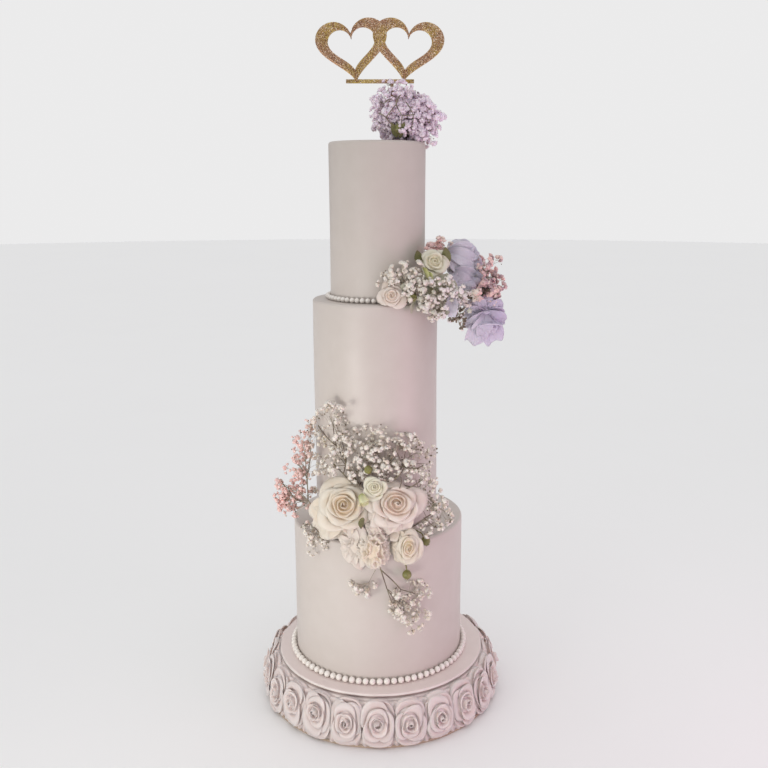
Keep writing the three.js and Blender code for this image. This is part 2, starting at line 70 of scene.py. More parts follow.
def makeCamera(setup):
    data = bpy.data.cameras.new("camera")
    data.lens = setup["lens"]
    data.sensor_width = setup["sensor"]
    data.shift_x, data.shift_y = setup["shift"]
    data.clip_end = setup["clipEnd"]
    camera = bpy.data.objects.new("camera", data)
    camera.location = setup["place"]
    camera.rotation_euler = (math.radians(setup["pitch"]), 0, 0)
    bpy.context.scene.collection.objects.link(camera)
    bpy.context.scene.camera = camera


def makeLight(name, place, size, power, colour, spread):
    data = bpy.data.lights.new(name, "AREA")
    data.shape = "DISK"
    data.size = size
    data.energy = power
    data.color = colour
    data.spread = math.radians(spread)
    light = bpy.data.objects.new(name, data)
    light.location = place
    aim = Vector(studio["target"]) - Vector(place)
    light.rotation_euler = aim.to_track_quat("-Z", "Y").to_euler()
    light.visible_camera = False
    bpy.context.scene.collection.objects.link(light)


# Links a node's inputs to sockets or sets their values; colours are given as three values.
def feed(tree, made, values):
    for key, value in values.items():
        entry = made.inputs[key]
        if isinstance(value, bpy.types.NodeSocket):
            tree.links.new(value, entry)
        else:
            entry.default_value = (*value, 1) if entry.type == "RGBA" else value


def node(tree, kind, values=None, **options):
    made = tree.nodes.new(kind)
    for key, value in options.items():
        setattr(made, key, value)
    feed(tree, made, values or {})
    return made


def mixed(tree, factor, first, second, kind="MIX"):
    values = {0: factor, 6: first, 7: second}
    return node(tree, "ShaderNodeMix", values, data_type="RGBA", blend_type=kind).outputs[2]


def maths(tree, operation, *values):
    return node(tree, "ShaderNodeMath", dict(enumerate(values)), operation=operation).outputs[0]


def ranged(tree, value, low, high, toLow=0.0, toHigh=1.0):
    values = {"Value": value, "From Min": low, "From Max": high, "To Min": toLow, "To Max": toHigh}
    return node(tree, "ShaderNodeMapRange", values).outputs["Result"]


def split(tree, vector):
    return node(tree, "ShaderNodeSeparateXYZ", {"Vector": vector}).outputs


def splitLook(tree):
    return split(tree, node(tree, "ShaderNodeAttribute", attribute_name="look").outputs["Vector"])


def objectPlace(tree):
    return node(tree, "ShaderNodeTexCoord").outputs["Object"]


def noise(tree, vector, scale, detail, **more):
    values = {"Vector": vector, "Scale": scale, "Detail": detail, **more}
    return node(tree, "ShaderNodeTexNoise", values).outputs["Fac"]


def bump(tree, height, strength, distance):
    values = {"Height": height, "Strength": strength, "Distance": distance}
    return node(tree, "ShaderNodeBump", values).outputs["Normal"]


# The room's light grows from the horizon up; the camera sees an even backdrop in its place.
def makeWorld():
    world = bpy.data.worlds.new("studioWorld")
    world.use_nodes = True
    tree = world.node_tree
    climb = split(tree, node(tree, "ShaderNodeTexCoord").outputs["Generated"])["Z"]
    roomLight = tree.nodes["Background"]
    strength = ranged(tree, climb, 0.0, 1.0, *studio["worldStrength"])
    feed(tree, roomLight, {"Color": studio["worldColour"], "Strength": strength})
    backdrop = node(tree, "ShaderNodeBackground", {"Color": studio["skyColour"]})
    seen = node(tree, "ShaderNodeLightPath").outputs["Is Camera Ray"]
    choice = node(tree, "ShaderNodeMixShader", {0: seen, 1: roomLight.outputs[0], 2: backdrop.outputs[0]})
    feed(tree, tree.nodes["World Output"], {"Surface": choice.outputs[0]})
    bpy.context.scene.world = world


makeCamera(cameraSetup)
for lightRow in studio["lights"]:
    makeLight(*lightRow)
makeWorld()
bpy.context.scene.view_settings.view_transform = "Standard"
print("camera and lights are set")


# Surfaces are worked out as arrays and gathered in piles. look holds, for each corner, the place across
# the surface (-1 to 1) or a tint, the place along it (0 to 1) and a shade of its own (0 to 1).
middleLook = np.array([0, 0.5, 0.5])


def newPile():
    return {"points": [], "look": [], "quads": [], "tris": [], "count": 0}


# Adds copies of one shape; points is (copies, corners, 3).
def addCopies(pile, points, faces, look):
    copies, corners = points.shape[:2]
    shift = pile["count"] + np.arange(copies)[:, None, None] * corners
    pile["points"].append(points.reshape(-1, 3))
    pile["look"].append(np.broadcast_to(look, points.shape).reshape(-1, 3))
    for kind, rows in zip(("quads", "tris"), faces):
        pile[kind].append((rows[None] + shift).reshape(-1, rows.shape[1]))
    pile["count"] += copies * corners


# Even angles of a full turn, without its end.
def turns(sides):
    return np.linspace(0, 2 * np.pi, sides, endpoint=False)


# Arrays or numbers, stretched to one shape and stacked as the values of points.
def joined(*parts):
    return np.stack(np.broadcast_arrays(*parts), -1)


# Points at a distance from +Z in the direction of an angle, with a step to the side of that direction.
def around(out, angle, height, side=0.0):
    cosine, sine = np.cos(angle), np.sin(angle)
    return joined(out * cosine - side * sine, out * sine + side * cosine, height)


def unit(vectors):
    return vectors / np.maximum(np.linalg.norm(vectors, axis=-1, keepdims=True), 1e-9)


# Faces of closed sleeves: rows of corners round an axis, and one corner more at each end.
def sleeveFaces(rows, sides):
    row = np.arange(rows - 1)[:, None] * sides
    side = np.arange(sides)
    after = (side + 1) % sides
    quads = joined(row + side, row + after, row + sides + after, row + sides + side).reshape(-1, 4)
    last = (rows - 1) * sides
    foot = joined(after, side, rows * sides)
    tip = joined(last + side, last + after, rows * sides + 1)
    return quads, np.concatenate([foot, tip])


# Faces of a ring: closed both round the section and along the path.
def ringFaces(rows, sides):
    row, side = np.arange(rows)[:, None], np.arange(sides)[None, :]
    nextRow, nextSide = (row + 1) % rows, (side + 1) % sides
    here, beyond = row * sides, nextRow * sides
    corners = joined(here + side, here + nextSide, beyond + nextSide, beyond + side)
    return corners.reshape(-1, 4), np.zeros((0, 3), int)


# Faces of a thin closed shell: the upper grid, the lower grid turned over, and a strip round the edge.
def shellFaces(rows, cols):
    index = np.arange(rows * cols).reshape(rows, cols)
    upper = joined(index[:-1, :-1], index[:-1, 1:], index[1:, 1:], index[1:, :-1]).reshape(-1, 4)
    edge = np.concatenate([index[0, :-1], index[:-1, -1], index[-1, :0:-1], index[:0:-1, 0]])
    after, under = np.roll(edge, -1), rows * cols
    strip = joined(after, edge, edge + under, after + under)
    return np.concatenate([upper, upper[:, ::-1] + under, strip]), np.zeros((0, 3), int)


# Corners of thin closed shells from sheets of (copies, rows, cols, 3): half the thickness to each side
# along the normal, which is the cross product of the steps across and along the sheet.
def shellPoints(sheets, thick):
    normal = unit(np.cross(np.gradient(sheets, axis=2), np.gradient(sheets, axis=1)))
    half = 0.5 * np.asarray(thick)[..., None] * normal
    return np.stack([sheets + half, sheets - half], 1).reshape(len(sheets), -1, 3)


# Turns a shape's +Z to a direction by the smallest turn, and moves it to a place.
def placer(place, direction):
    aim = unit(np.array(direction, float))
    side = np.array([-aim[1], aim[0], 0.0])  # the turn's axis times its sine
    skew = np.array([[0, 0, side[1]], [0, 0, -side[0]], [-side[1], side[0], 0]])
    turn = np.eye(3) + skew + skew @ skew / (1 + aim[2])
    return lambda points: points @ turn.T + np.array(place, float)


# For each direction three axes, the last along it, turned about it by the spin: (copies, 3, 3) in columns.
def axesAlong(directions, spins):
    aim = unit(directions)
    across = unit(np.cross(np.where(np.abs(aim[:, 2:]) < 0.9, [0.0, 0, 1], [1.0, 0, 0]), aim))
    other = np.cross(aim, across)
    cosine, sine = np.cos(spins)[:, None], np.sin(spins)[:, None]
    return np.stack([cosine * across + sine * other, cosine * other - sine * across, aim], -1)


def scattered(shape, places, directions, spins, sizes):
    turned = np.einsum("nij,vj->nvi", axesAlong(directions, spins), shape)
    return places[:, None] + turned * sizes[:, None, None]


def smoothStep(values, low, high):
    part = np.clip((values - low) / (high - low), 0, 1)
    return part * part * (3 - 2 * part)


def makePiece(name, pile, finish, slotName, *nodeNames):
    points, look, quads, tris = (np.concatenate(pile[key]) for key in ("points", "look", "quads", "tris"))
    corners = np.concatenate([quads.ravel(), tris.ravel()])
    starts = np.append(np.arange(len(quads)) * 4, len(quads) * 4 + np.arange(len(tris)) * 3)
    mesh = bpy.data.meshes.new(name)
    mesh.vertices.add(len(points))
    mesh.vertices.foreach_set("co", (points * mm).astype(np.float32).ravel())
    mesh.loops.add(len(corners))
    mesh.loops.foreach_set("vertex_index", corners.astype(np.int32))
    mesh.polygons.add(len(starts))
    mesh.polygons.foreach_set("loop_start", starts.astype(np.int32))
    mesh.polygons.foreach_set("use_smooth", np.ones(len(starts), bool))
    attribute = mesh.attributes.new("look", "FLOAT_VECTOR", "POINT")
    attribute.data.foreach_set("vector", look.astype(np.float32).ravel())
    mesh.update(calc_edges=True)
    mesh.materials.append(finishes[finish])
    piece = bpy.data.objects.new(name, mesh)
    bpy.context.scene.collection.objects.link(piece)
    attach(piece, "root")
    if nodeNames:
        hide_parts(*nodeNames)
    return piece


# A closed shape of rings round +Z that ends on the axis at low and high: its points and faces.
def turnedShape(out, height, sides, low, high):
    ring = around(out, turns(sides), height)
    return np.concatenate([ring.reshape(-1, 3), [[0, 0, low], [0, 0, high]]]), sleeveFaces(len(ring), sides)


# Adds a solid of revolution. profile runs from the axis at the foot to the axis at the tip; uneven(angle,
# height) is added to the radius, and fades out within the last 20 mm before the axis.
def addTurned(pile, profile, sides, centre=0.0, uneven=None):
    profile = np.array(profile, float)
    radius, height = profile[1:-1, :1], profile[1:-1, 1:]
    if uneven:
        radius = radius + uneven(turns(sides)[None], height) * np.minimum(radius / 20, 1)
    shape, faces = turnedShape(radius, height, sides, profile[0, 1], profile[-1, 1])
    along = np.append(np.repeat(np.linspace(0, 1, len(height)), sides), [0, 1])
    addCopies(pile, (shape + [centre, 0, 0])[None], faces, joined(0, along, 0.5))


# An arc of a profile: centre, radius, and the angles it runs between, in degrees from straight out.
def arc(centre, radius, start, end, steps):
    angle = np.radians(np.linspace(start, end, steps))
    return joined(centre[0] + radius * np.cos(angle), centre[1] + radius * np.sin(angle))


# Adds stems: each follows a curve of the second degree from start past bend to end, and its half
# thickness goes from the first to the second value of thick.
def addStems(pile, starts, bends, ends, thick, sides=4, rows=4, shade=0.5):
    part = np.linspace(0, 1, rows)[None, :, None]
    starts, bends, ends = (np.asarray(p, float)[:, None] for p in (starts, bends, ends))
    path = (1 - part) ** 2 * starts + 2 * part * (1 - part) * bends + part**2 * ends
    axes = axesAlong((ends - starts)[:, 0], np.zeros(1))[:, None, None]
    angle = turns(sides)[:, None]
    circle = axes[..., 0] * np.cos(angle) + axes[..., 1] * np.sin(angle)
    ring = path[:, :, None] + (thick[0] + (thick[1] - thick[0]) * part[..., None]) * circle
    points = np.concatenate([ring.reshape(len(path), -1, 3), path[:, :1], path[:, -1:]], 1)
    along = np.append(np.repeat(part.ravel(), sides), [0, 1])
    addCopies(pile, points, sleeveFaces(rows, sides), joined(0, along, shade))


# A node group of colours and numbers; build(tree, given) returns its outputs.
def makeGroup(name, colours, numbers, build):
    tree = bpy.data.node_groups.new(name, "ShaderNodeTree")
    kinds = {**dict.fromkeys(colours, "NodeSocketColor"), **dict.fromkeys(numbers, "NodeSocketFloat")}
    for label, kind in kinds.items():
        tree.interface.new_socket(name=label, in_out="INPUT", socket_type=kind)
    results = build(tree, node(tree, "NodeGroupInput").outputs)
    kinds = {"Colour": "NodeSocketColor", "Normal": "NodeSocketVector", "Roughness": "NodeSocketFloat"}
    for label in results:
        tree.interface.new_socket(name=label, in_out="OUTPUT", socket_type=kinds[label])
    node(tree, "NodeGroupOutput", results)
    return tree


# Two colours mixed by soft clouds of two sizes, as sugar paste and fresh petals are never one flat tone.
def cloudyTone(tree, given):
    place = objectPlace(tree)
    broad = noise(tree, place, given["Scale"], 2.0)
    fine = noise(tree, place, maths(tree, "MULTIPLY", given["Scale"], 7.0), 3.0)
    both = maths(tree, "MULTIPLY_ADD", fine, 0.35, maths(tree, "MULTIPLY", broad, 0.65))
    mask = maths(tree, "MULTIPLY", ranged(tree, both, 0.36, 0.64), given["Share"])
    return {"Colour": mixed(tree, mask, given["Pale"], given["Deep"])}


# Fine relief and an uneven gloss: a slow swell, small pores between, and a roughness that follows them.
def fineRelief(tree, given):
    place = objectPlace(tree)
    pores = noise(tree, place, given["Scale"], 4.0, Roughness=0.6)
    swell = noise(tree, place, maths(tree, "MULTIPLY", given["Scale"], 0.06), 1.0)
    height = maths(tree, "MULTIPLY_ADD", swell, 3.0, pores)
    half = maths(tree, "SUBTRACT", swell, 0.5)
    return {"Normal": bump(tree, height, given["Depth"], 0.0006),
            "Roughness": maths(tree, "MULTIPLY_ADD", half, given["Spread"], given["Rough"])}


# The tone of a petal by its look attribute: a foot tone that is painted shade deep in the flower over a tone
# of the petal's own there (in the satin roses a paler painted light against that shade), a rim tone that in
# pale petals is partly the paler lip and partly a painted highlight, another tone in the heart of the flower
# than outside, and veins that fan from foot to rim.
def petalTone(tree, given):
    look = splitLook(tree)
    drift = ranged(tree, noise(tree, objectPlace(tree), 55.0, 2.0), 0.3, 0.7, -0.16, 0.16)
    ringShade = maths(tree, "ADD", look["Z"], drift)
    body = mixed(tree, ranged(tree, ringShade, 0.15, 0.75), given["Heart"], given["Outer"])
    along = maths(tree, "ADD", look["Y"], drift)
    # Painted shade at the petal's foot (painted light in the satin roses), fading out along the petal.
    footShadingMask = maths(tree, "SUBTRACT", 1.0, ranged(tree, along, 0.0, given["Reach"]))
    # The rim's tone: in pale petals partly their paler lip and partly a painted highlight.
    rimMask = maths(tree, "MULTIPLY", ranged(tree, along, 0.78, 1.0), given["Edge"])
    colour = mixed(tree, rimMask, mixed(tree, footShadingMask, body, given["Foot"]), given["Rim"])
    wide, far = maths(tree, "MULTIPLY", look["X"], 13.0), maths(tree, "MULTIPLY", look["Y"], 1.6)
    fan = node(tree, "ShaderNodeCombineXYZ", {"X": wide, "Y": far, "Z": look["Z"]}).outputs[0]
    return {"Colour": colour, "Normal": bump(tree, noise(tree, fan, 2.2, 2.0), given["Veins"], 0.0005)}


groups = {
    "cloudyTone": makeGroup("cloudyTone", ["Pale", "Deep"], ["Scale", "Share"], cloudyTone),
    "fineRelief": makeGroup("fineRelief", [], ["Scale", "Depth", "Rough", "Spread"], fineRelief),
    "petalTone": makeGroup("petalTone", ["Heart", "Outer", "Foot", "Rim"], ["Reach", "Edge", "Veins"],
                           petalTone),
}
petalFinish = {"Roughness": 0.55, "Subsurface Weight": 0.3, "Subsurface Radius": (1.0, 0.85, 0.75),
               "Subsurface Scale": 0.003, "Sheen Weight": 0.15}


def useGroup(tree, name, labels, values):
    return node(tree, "ShaderNodeGroup", dict(zip(labels, values)), node_tree=groups[name]).outputs


# A material with fixed values on its shader; build(tree) returns the sockets for its other inputs.
def makeMaterial(name, fixed, build):
    material = bpy.data.materials.new(name)
    material.use_nodes = True
    tree = material.node_tree
    feed(tree, tree.nodes["Principled BSDF"], {**fixed, **build(tree)})
    return material


# A material of cloudy tone and fine relief, for sugar paste, paint and green parts. tone is pale, deep,
# scale and share; relief is scale, depth, roughness and the spread of the roughness.
def plainMaterial(name, tone, relief, fixed, recolour=lambda tree, colour: colour):
    def build(tree):
        clouds = useGroup(tree, "cloudyTone", ("Pale", "Deep", "Scale", "Share"), tone)
        grain = useGroup(tree, "fineRelief", ("Scale", "Depth", "Rough", "Spread"), relief)
        return {"Base Color": recolour(tree, clouds["Colour"]), "Roughness": grain["Roughness"],
                "Normal": grain["Normal"]}

    return makeMaterial(name, fixed, build)


# A petal's material. tones are heart, outer, foot and rim; the foot's tone is painted shade in most flowers
# and painted light in the satin roses, and in pale petals the rim's is partly a painted highlight. form is
# how far the foot's tone reaches, how strong the rim's is, and how deep the veins are. Without veins the
# surface is left smooth.
def petalMaterial(name, tones, form, fixed=petalFinish, recolour=lambda tree, colour: colour):
    def build(tree):
        labels = ("Heart", "Outer", "Foot", "Rim", "Reach", "Edge", "Veins")
        petal = useGroup(tree, "petalTone", labels, (*tones, *form))
        links = {"Base Color": recolour(tree, petal["Colour"])}
        if form[2]:
            links["Normal"] = petal["Normal"]
        return links

    return makeMaterial(name, {**petalFinish, **fixed}, build)


# The stand's foot is tan along its lower edge, up to about 5 mm, and fades out above.
def tanStandEdge(tree, colour):
    height = split(tree, objectPlace(tree))["Z"]
    return mixed(tree, ranged(tree, height, 0.0035, 0.0055, 1.0, 0.0), colour, (0.46, 0.35, 0.26))


# Painted light and shade across the lilac petals: blue-grey on the left of the blooms, darker and mauve on
# their right, as under a pink light and shade from the right.
def paintedSideLight(tree, colour):
    side = split(tree, objectPlace(tree))["X"]
    shade = mixed(tree, ranged(tree, side, 0.125, 0.19), (0.93, 0.97, 1.0), (0.81, 0.80, 0.94))
    return mixed(tree, 1.0, colour, shade, "MULTIPLY")


# Florets of gypsophila are pink where the look's first value is 1, dark mauve where it is 2, lilac where -1;
# the lilac is partly painted lilac stage light, and the dark mauve partly painted shade under pink light.
def floretTints(tree, colour):
    tint = splitLook(tree)["X"]
    pink = mixed(tree, ranged(tree, tint, 0.0, 1.0), colour, (1.0, 0.65, 0.61))
    pink = mixed(tree, ranged(tree, tint, 1.0, 2.0), pink, (0.54, 0.38, 0.42))
    return mixed(tree, ranged(tree, tint, -1.0, 0.0, 1.0, 0.0), pink, (1.0, 0.83, 0.98))


# Twigs: dark brown where the look's third value is 0, pale where it is 1, with greenish stretches.
def twigTone(tree):
    brown = mixed(tree, splitLook(tree)["Z"], (0.16, 0.12, 0.095), (0.62, 0.54, 0.45))
    patch = noise(tree, objectPlace(tree), 90.0, 2.0)
    return {"Base Color": mixed(tree, ranged(tree, patch, 0.45, 0.65, 0.0, 0.6), brown, (0.33, 0.31, 0.18))}


# Glitter: cells of about 1 mm, each with a tone of its own and its own tilt; the palest cells are painted
# glints.
def glitterTone(tree):
    place = objectPlace(tree)
    cell = node(tree, "ShaderNodeTexVoronoi", {"Vector": place, "Scale": 820.0})
    chance = split(tree, cell.outputs["Color"])
    patch = ranged(tree, noise(tree, place, 22.0, 1.0), 0.4, 0.62)
    warm = mixed(tree, patch, (0.50, 0.29, 0.17), (0.62, 0.45, 0.13))
    toned = mixed(tree, ranged(tree, chance["X"], 0.0, 0.5, 1.0, 0.0), warm, (0.27, 0.13, 0.09))
    glint = mixed(tree, ranged(tree, chance["Y"], 0.78, 0.9), toned, (0.93, 0.76, 0.58))
    return {"Base Color": glint, "Normal": bump(tree, chance["Z"], 0.9, 0.0004)}


# Loose flakes take their tone from the shade of each one.
def flakeTone(tree):
    ramp = node(tree, "ShaderNodeValToRGB", {"Fac": splitLook(tree)["Z"]})
    stops = ramp.color_ramp.elements
    stops[0].color = (0.30, 0.13, 0.09, 1)
    stops[1].color = (0.95, 0.86, 0.74, 1)
    middle = [(0.35, (0.55, 0.30, 0.18, 1)), (0.65, (0.72, 0.50, 0.18, 1)), (0.85, (0.86, 0.62, 0.44, 1))]
    for spot, colour in middle:
        stops.new(spot).color = colour
    return {"Base Color": ramp.outputs["Color"]}


finishes = {
    "icing": plainMaterial(
        "ivoryIcing", ((0.635, 0.575, 0.535), (0.59, 0.528, 0.483), 6.0, 0.75), (420.0, 0.16, 0.44, 0.18),
        {"Coat Weight": 0.08, "Coat Roughness": 0.4}),
    "board": plainMaterial(
        "boardIcing", ((0.82, 0.71, 0.68), (0.76, 0.647, 0.615), 8.0, 0.7), (380.0, 0.14, 0.40, 0.16),
        {"Coat Weight": 0.1, "Coat Roughness": 0.35}),
    # The board's pale ribbon: its pale tone is partly a painted highlight along the rim.
    "ribbon": plainMaterial(
        "boardRibbon", ((0.88, 0.84, 0.80), (0.82, 0.76, 0.72), 20.0, 0.6), (600.0, 0.08, 0.3, 0.15),
        {"Sheen Weight": 0.3}),
    "pearl": plainMaterial(
        "sugarPearl", ((0.91, 0.87, 0.82), (0.85, 0.79, 0.73), 60.0, 0.7), (900.0, 0.05, 0.24, 0.1),
        {"Coat Weight": 0.5, "Coat Roughness": 0.12}),
    "stand": plainMaterial(
        "standSatin", ((0.77, 0.69, 0.66), (0.68, 0.59, 0.56), 9.0, 0.8), (500.0, 0.12, 0.36, 0.2),
        {"Coat Weight": 0.15}, tanStandEdge),
    "berry": plainMaterial(
        "oliveBerry", ((0.27, 0.265, 0.075), (0.16, 0.15, 0.045), 110.0, 1.0), (700.0, 0.4, 0.36, 0.2),
        {"Coat Weight": 0.25}),
    "stem": plainMaterial(
        "flowerStem", ((0.22, 0.23, 0.09), (0.16, 0.14, 0.07), 70.0, 0.9), (600.0, 0.3, 0.55, 0.2), {}),
    "calyx": plainMaterial(
        "gypsophilaBud", ((0.25, 0.20, 0.14), (0.14, 0.105, 0.075), 120.0, 0.9), (900.0, 0.2, 0.6, 0.2), {}),
    "floor": plainMaterial(
        "paleFloor", (*studio["floorTones"], 0.6, 0.5), (60.0, 0.0, 0.75, 0.1), {"Specular IOR Level": 0.0}),
    # Satin roses: their foot tone is paler than the outer petals, painted light that lifts the shade in the
    # creases.
    "satinRose": petalMaterial(
        "satinRose", ((0.81, 0.71, 0.685), (0.71, 0.60, 0.575), (0.84, 0.74, 0.715), (0.76, 0.67, 0.64)),
        (0.6, 0.9, 0.1), {"Roughness": 0.42, "Sheen Weight": 0.3, "Subsurface Weight": 0.5}),
    "cream": petalMaterial(
        "creamPetal", ((0.77, 0.62, 0.46), (0.74, 0.64, 0.525), (0.52, 0.46, 0.19), (0.83, 0.76, 0.655)),
        (0.6, 0.6, 0.35)),
    "blush": petalMaterial(
        "blushPetal", ((0.76, 0.60, 0.475), (0.77, 0.655, 0.58), (0.62, 0.50, 0.36), (0.86, 0.765, 0.70)),
        (0.6, 0.6, 0.35)),
    "white": petalMaterial(
        "whitePetal", ((0.79, 0.665, 0.53), (0.77, 0.68, 0.60), (0.77, 0.645, 0.50), (0.82, 0.74, 0.66)),
        (0.5, 0.6, 0.35)),
    "bloom": petalMaterial(
        "paleBloom", ((0.76, 0.66, 0.575), (0.76, 0.665, 0.585), (0.73, 0.62, 0.53), (0.79, 0.70, 0.63)),
        (0.4, 0.5, 0.35)),
    # Lilac petals: their lilac is partly the petals' own tint and partly painted lilac stage light and shade.
    "lilac": petalMaterial(
        "lilacPetal", ((0.64, 0.575, 0.64), (0.71, 0.645, 0.71), (0.54, 0.48, 0.55), (0.77, 0.725, 0.795)),
        (0.6, 0.6, 0.9), recolour=paintedSideLight),
    "greenRose": petalMaterial(
        "greenWhitePetal", ((0.75, 0.69, 0.51), (0.78, 0.73, 0.58), (0.56, 0.55, 0.28), (0.85, 0.81, 0.675)),
        (0.6, 0.5, 0.35)),
    "yellowBud": petalMaterial(
        "yellowGreenPetal", ((0.62, 0.62, 0.28), (0.74, 0.71, 0.42), (0.38, 0.41, 0.13), (0.83, 0.80, 0.55)),
        (0.7, 0.6, 0.35)),
    "sage": petalMaterial(
        "sageLeaf", ((0.46, 0.45, 0.34), (0.50, 0.49, 0.39), (0.38, 0.37, 0.24), (0.58, 0.56, 0.46)),
        (0.4, 0.6, 0.9), {"Subsurface Weight": 0.1}),
    "leaf": petalMaterial(
        "leafGreen", ((0.15, 0.15, 0.055), (0.17, 0.18, 0.06), (0.25, 0.24, 0.10), (0.15, 0.12, 0.05)),
        (0.4, 0.7, 0.9), {"Roughness": 0.42, "Subsurface Weight": 0.05}),
    "floret": petalMaterial(
        "gypsophilaFloret",
        ((0.85, 0.78, 0.67), (0.89, 0.83, 0.745), (0.70, 0.64, 0.51), (0.92, 0.88, 0.81)),
        (0.35, 0.6, 0.0), recolour=floretTints),
    "double": petalMaterial(
        "doubleFloret", ((0.74, 0.70, 0.56), (0.76, 0.72, 0.61), (0.44, 0.43, 0.27), (0.84, 0.80, 0.71)),
        (0.6, 0.6, 0.35)),
    "twig": makeMaterial("gypsophilaTwig", {"Roughness": 0.6}, twigTone),
    "glitter": makeMaterial("roseGoldGlitter", {"Metallic": 0.55, "Roughness": 0.32}, glitterTone),
    "flakes": makeMaterial("glitterFlakes", {"Metallic": 0.75, "Roughness": 0.22}, flakeTone),
}
print("materials are made")

# The floor's top lies a little under the stand, and its profile has rings closer together near the cake.
floorPile = newPile()
edge, top = studio["floorRadius"] / mm, -0.2
addTurned(floorPile, [[0, -40], [edge, -40], [edge, -2], [edge - 2, top], [edge - 50, top], [3000, top],
                      [900, top], [0, top]], 96)
floor = makePiece("floor", floorPile, "floor", "fondant")

stand = {"foot": 196, "footHeight": 4, "skirt": 190, "top": 176, "height": 71.7, "corner": 1.2,
         "shoulder": 1.5, "sides": 160}
board = {"radius": 174, "floor": 72, "top": 80, "rim": 1.3, "lip": 0.9, "groove": 9.0, "gap": 3.0,
         "sides": 192}
icing = {"edge": 4.2, "sides": 192, "rows": 34, "swell": 0.32, "gap": 0.3}
tierRows = [
    {"name": "bottom", "pearl": 5.3, "pitch": 11.3, "seed": 2},
    {"name": "middle", "pearl": 4.9, "pitch": 10.6, "seed": 3},
    {"name": "top", "pearl": 4.2, "pitch": 8.7, "seed": 4},
]
for tierRow in tierRows:
    low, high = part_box("tier_" + tierRow["name"])
    tierRow["radius"], tierRow["shift"] = (high.x - low.x) / 2 / mm, (high.x + low.x) / 2 / mm
    tierRow["floor"], tierRow["top"] = low.z / mm, high.z / mm


# The stand's profile: a thin foot with a round edge, a straight sloping side and a round shoulder.
def makeStand():
    foot, rise, skirt, top, height = (stand[key] for key in ("foot", "footHeight", "skirt", "top", "height"))
    corner, shoulder = stand["corner"], stand["shoulder"]
    profile = np.concatenate([
        [[0, 0], [foot * 0.5, 0], [foot - corner, 0]], arc((foot - corner, corner), corner, -90, 0, 4),
        arc((foot - corner, rise - corner), corner, 0, 90, 4), [[skirt + corner / 2, rise]],
        np.linspace([skirt, rise + corner], [top, height - shoulder], 14),
        arc((top - shoulder, height - shoulder), shoulder, 10, 90, 4), [[top * 0.6, height], [0, height]]])
    pile = newPile()
    addTurned(pile, profile, stand["sides"])
    makePiece("stand_base_satin", pile, "stand", "stand", "stand_base")


# The board has a groove under its rim, and a pale band round its edge whose section is eight corners: a
# ribbon whose pale tone is partly a painted highlight along the rim.
def makeBoard():
    radius, low, top, rim, lip = (board[key] for key in ("radius", "floor", "top", "rim", "lip"))
    hollow, under = radius - board["groove"], low + board["gap"]
    profile = np.concatenate([
        [[0, low], [100, low], [hollow, low], [hollow, under - 0.3], [hollow + 0.5, under]],
        arc((radius - lip, under + lip), lip, -90, 0, 4), arc((radius - rim, top - rim), rim, 0, 90, 7),
        [[radius - rim - 2, top], [150, top], [120, top], [60, top], [0, top]]])
    pile = newPile()
    addTurned(pile, profile, board["sides"])
    makePiece("board_covering", pile, "board", "fondant", "cake_board")
    out = radius + np.array([0.1, 0.45, 0.55, 0.45, 0.1, -0.5, -0.5, -0.5])
    height = np.append(under + np.array([1.2, 1.4]), top - np.array([2.6, 1.5, 1.3, 1.6]))
    height = np.append(height, under + np.array([2.4, 1.5]))
    ring = around(out, turns(board["sides"])[:, None], height).reshape(1, -1, 3)
    band = newPile()
    addCopies(band, ring, ringFaces(board["sides"], len(out)), middleLook)
    makePiece("board_ribbon", band, "ribbon", "fondant", "cake_board")


# Hand-smoothed icing: the radius swells and sinks by a few tenths in slow waves round and up the wall.
def slowWaves(seed, size):
    rng = np.random.default_rng(seed)
    waves = np.array([1, 2, 3, 5, 7])
    phase, climb = rng.uniform(0, 6.28, 5), rng.uniform(0.008, 0.03, 5)
    weight = size * np.array([0.7, 0.6, 0.4, 0.25, 0.15])

    def uneven(angle, height):
        wave = np.sin(angle[..., None] * waves + height[..., None] * climb + phase) * weight
        return wave.sum(-1) - 1.2 * size

    return uneven


# A tier's profile: a flat foot, a straight wall, a quarter circle at the top edge and a flat top.
def makeTier(row):
    radius, low, top, edge = row["radius"], row["floor"], row["top"], icing["edge"]
    profile = np.concatenate([
        [[0, low], [radius * 0.7, low], [radius - 0.8, low]],
        np.linspace([radius, low + 0.8], [radius, top - edge - 0.8], icing["rows"]),
        arc((radius - edge, top - edge), edge, 0, 90, 9), [[radius - edge - 1.5, top]],
        [[radius * share, top] for share in (0.85, 0.6, 0.3, 0)]])
    pile = newPile()
    addTurned(pile, profile, icing["sides"], row["shift"], slowWaves(row["seed"], icing["swell"]))
    makePiece("icing_" + row["name"], pile, "icing", "fondant", "tier_" + row["name"])


# A string of sugar pearls: balls whose size and place vary a little.
def makePearls(row):
    rng = np.random.default_rng(row["seed"] + 20)
    line = row["radius"] + icing["gap"] + row["pearl"]
    count = round(2 * math.pi * line / row["pitch"])
    lift = np.radians(np.linspace(-75, 75, 7))[:, None]
    ball, faces = turnedShape(np.cos(lift), np.sin(lift), 12, -1, 1)
    angle = 2 * np.pi * (np.arange(count) + rng.uniform(-0.04, 0.04, count)) / count
    size = row["pearl"] * rng.uniform(0.95, 1.0, count)
    places = around(line + rng.uniform(-0.15, 0.1, count), angle, row["floor"] + size) + [row["shift"], 0, 0]
    points = scattered(ball, places, np.tile([0.0, 0, 1], (count, 1)), angle, size)
    pile = newPile()
    addCopies(pile, points, faces, joined(0, 0.5, rng.uniform(0, 1, (count, 1))))
    makePiece("pearls_" + row["name"] + "_string", pile, "pearl", "pearls", "pearls_" + row["name"])


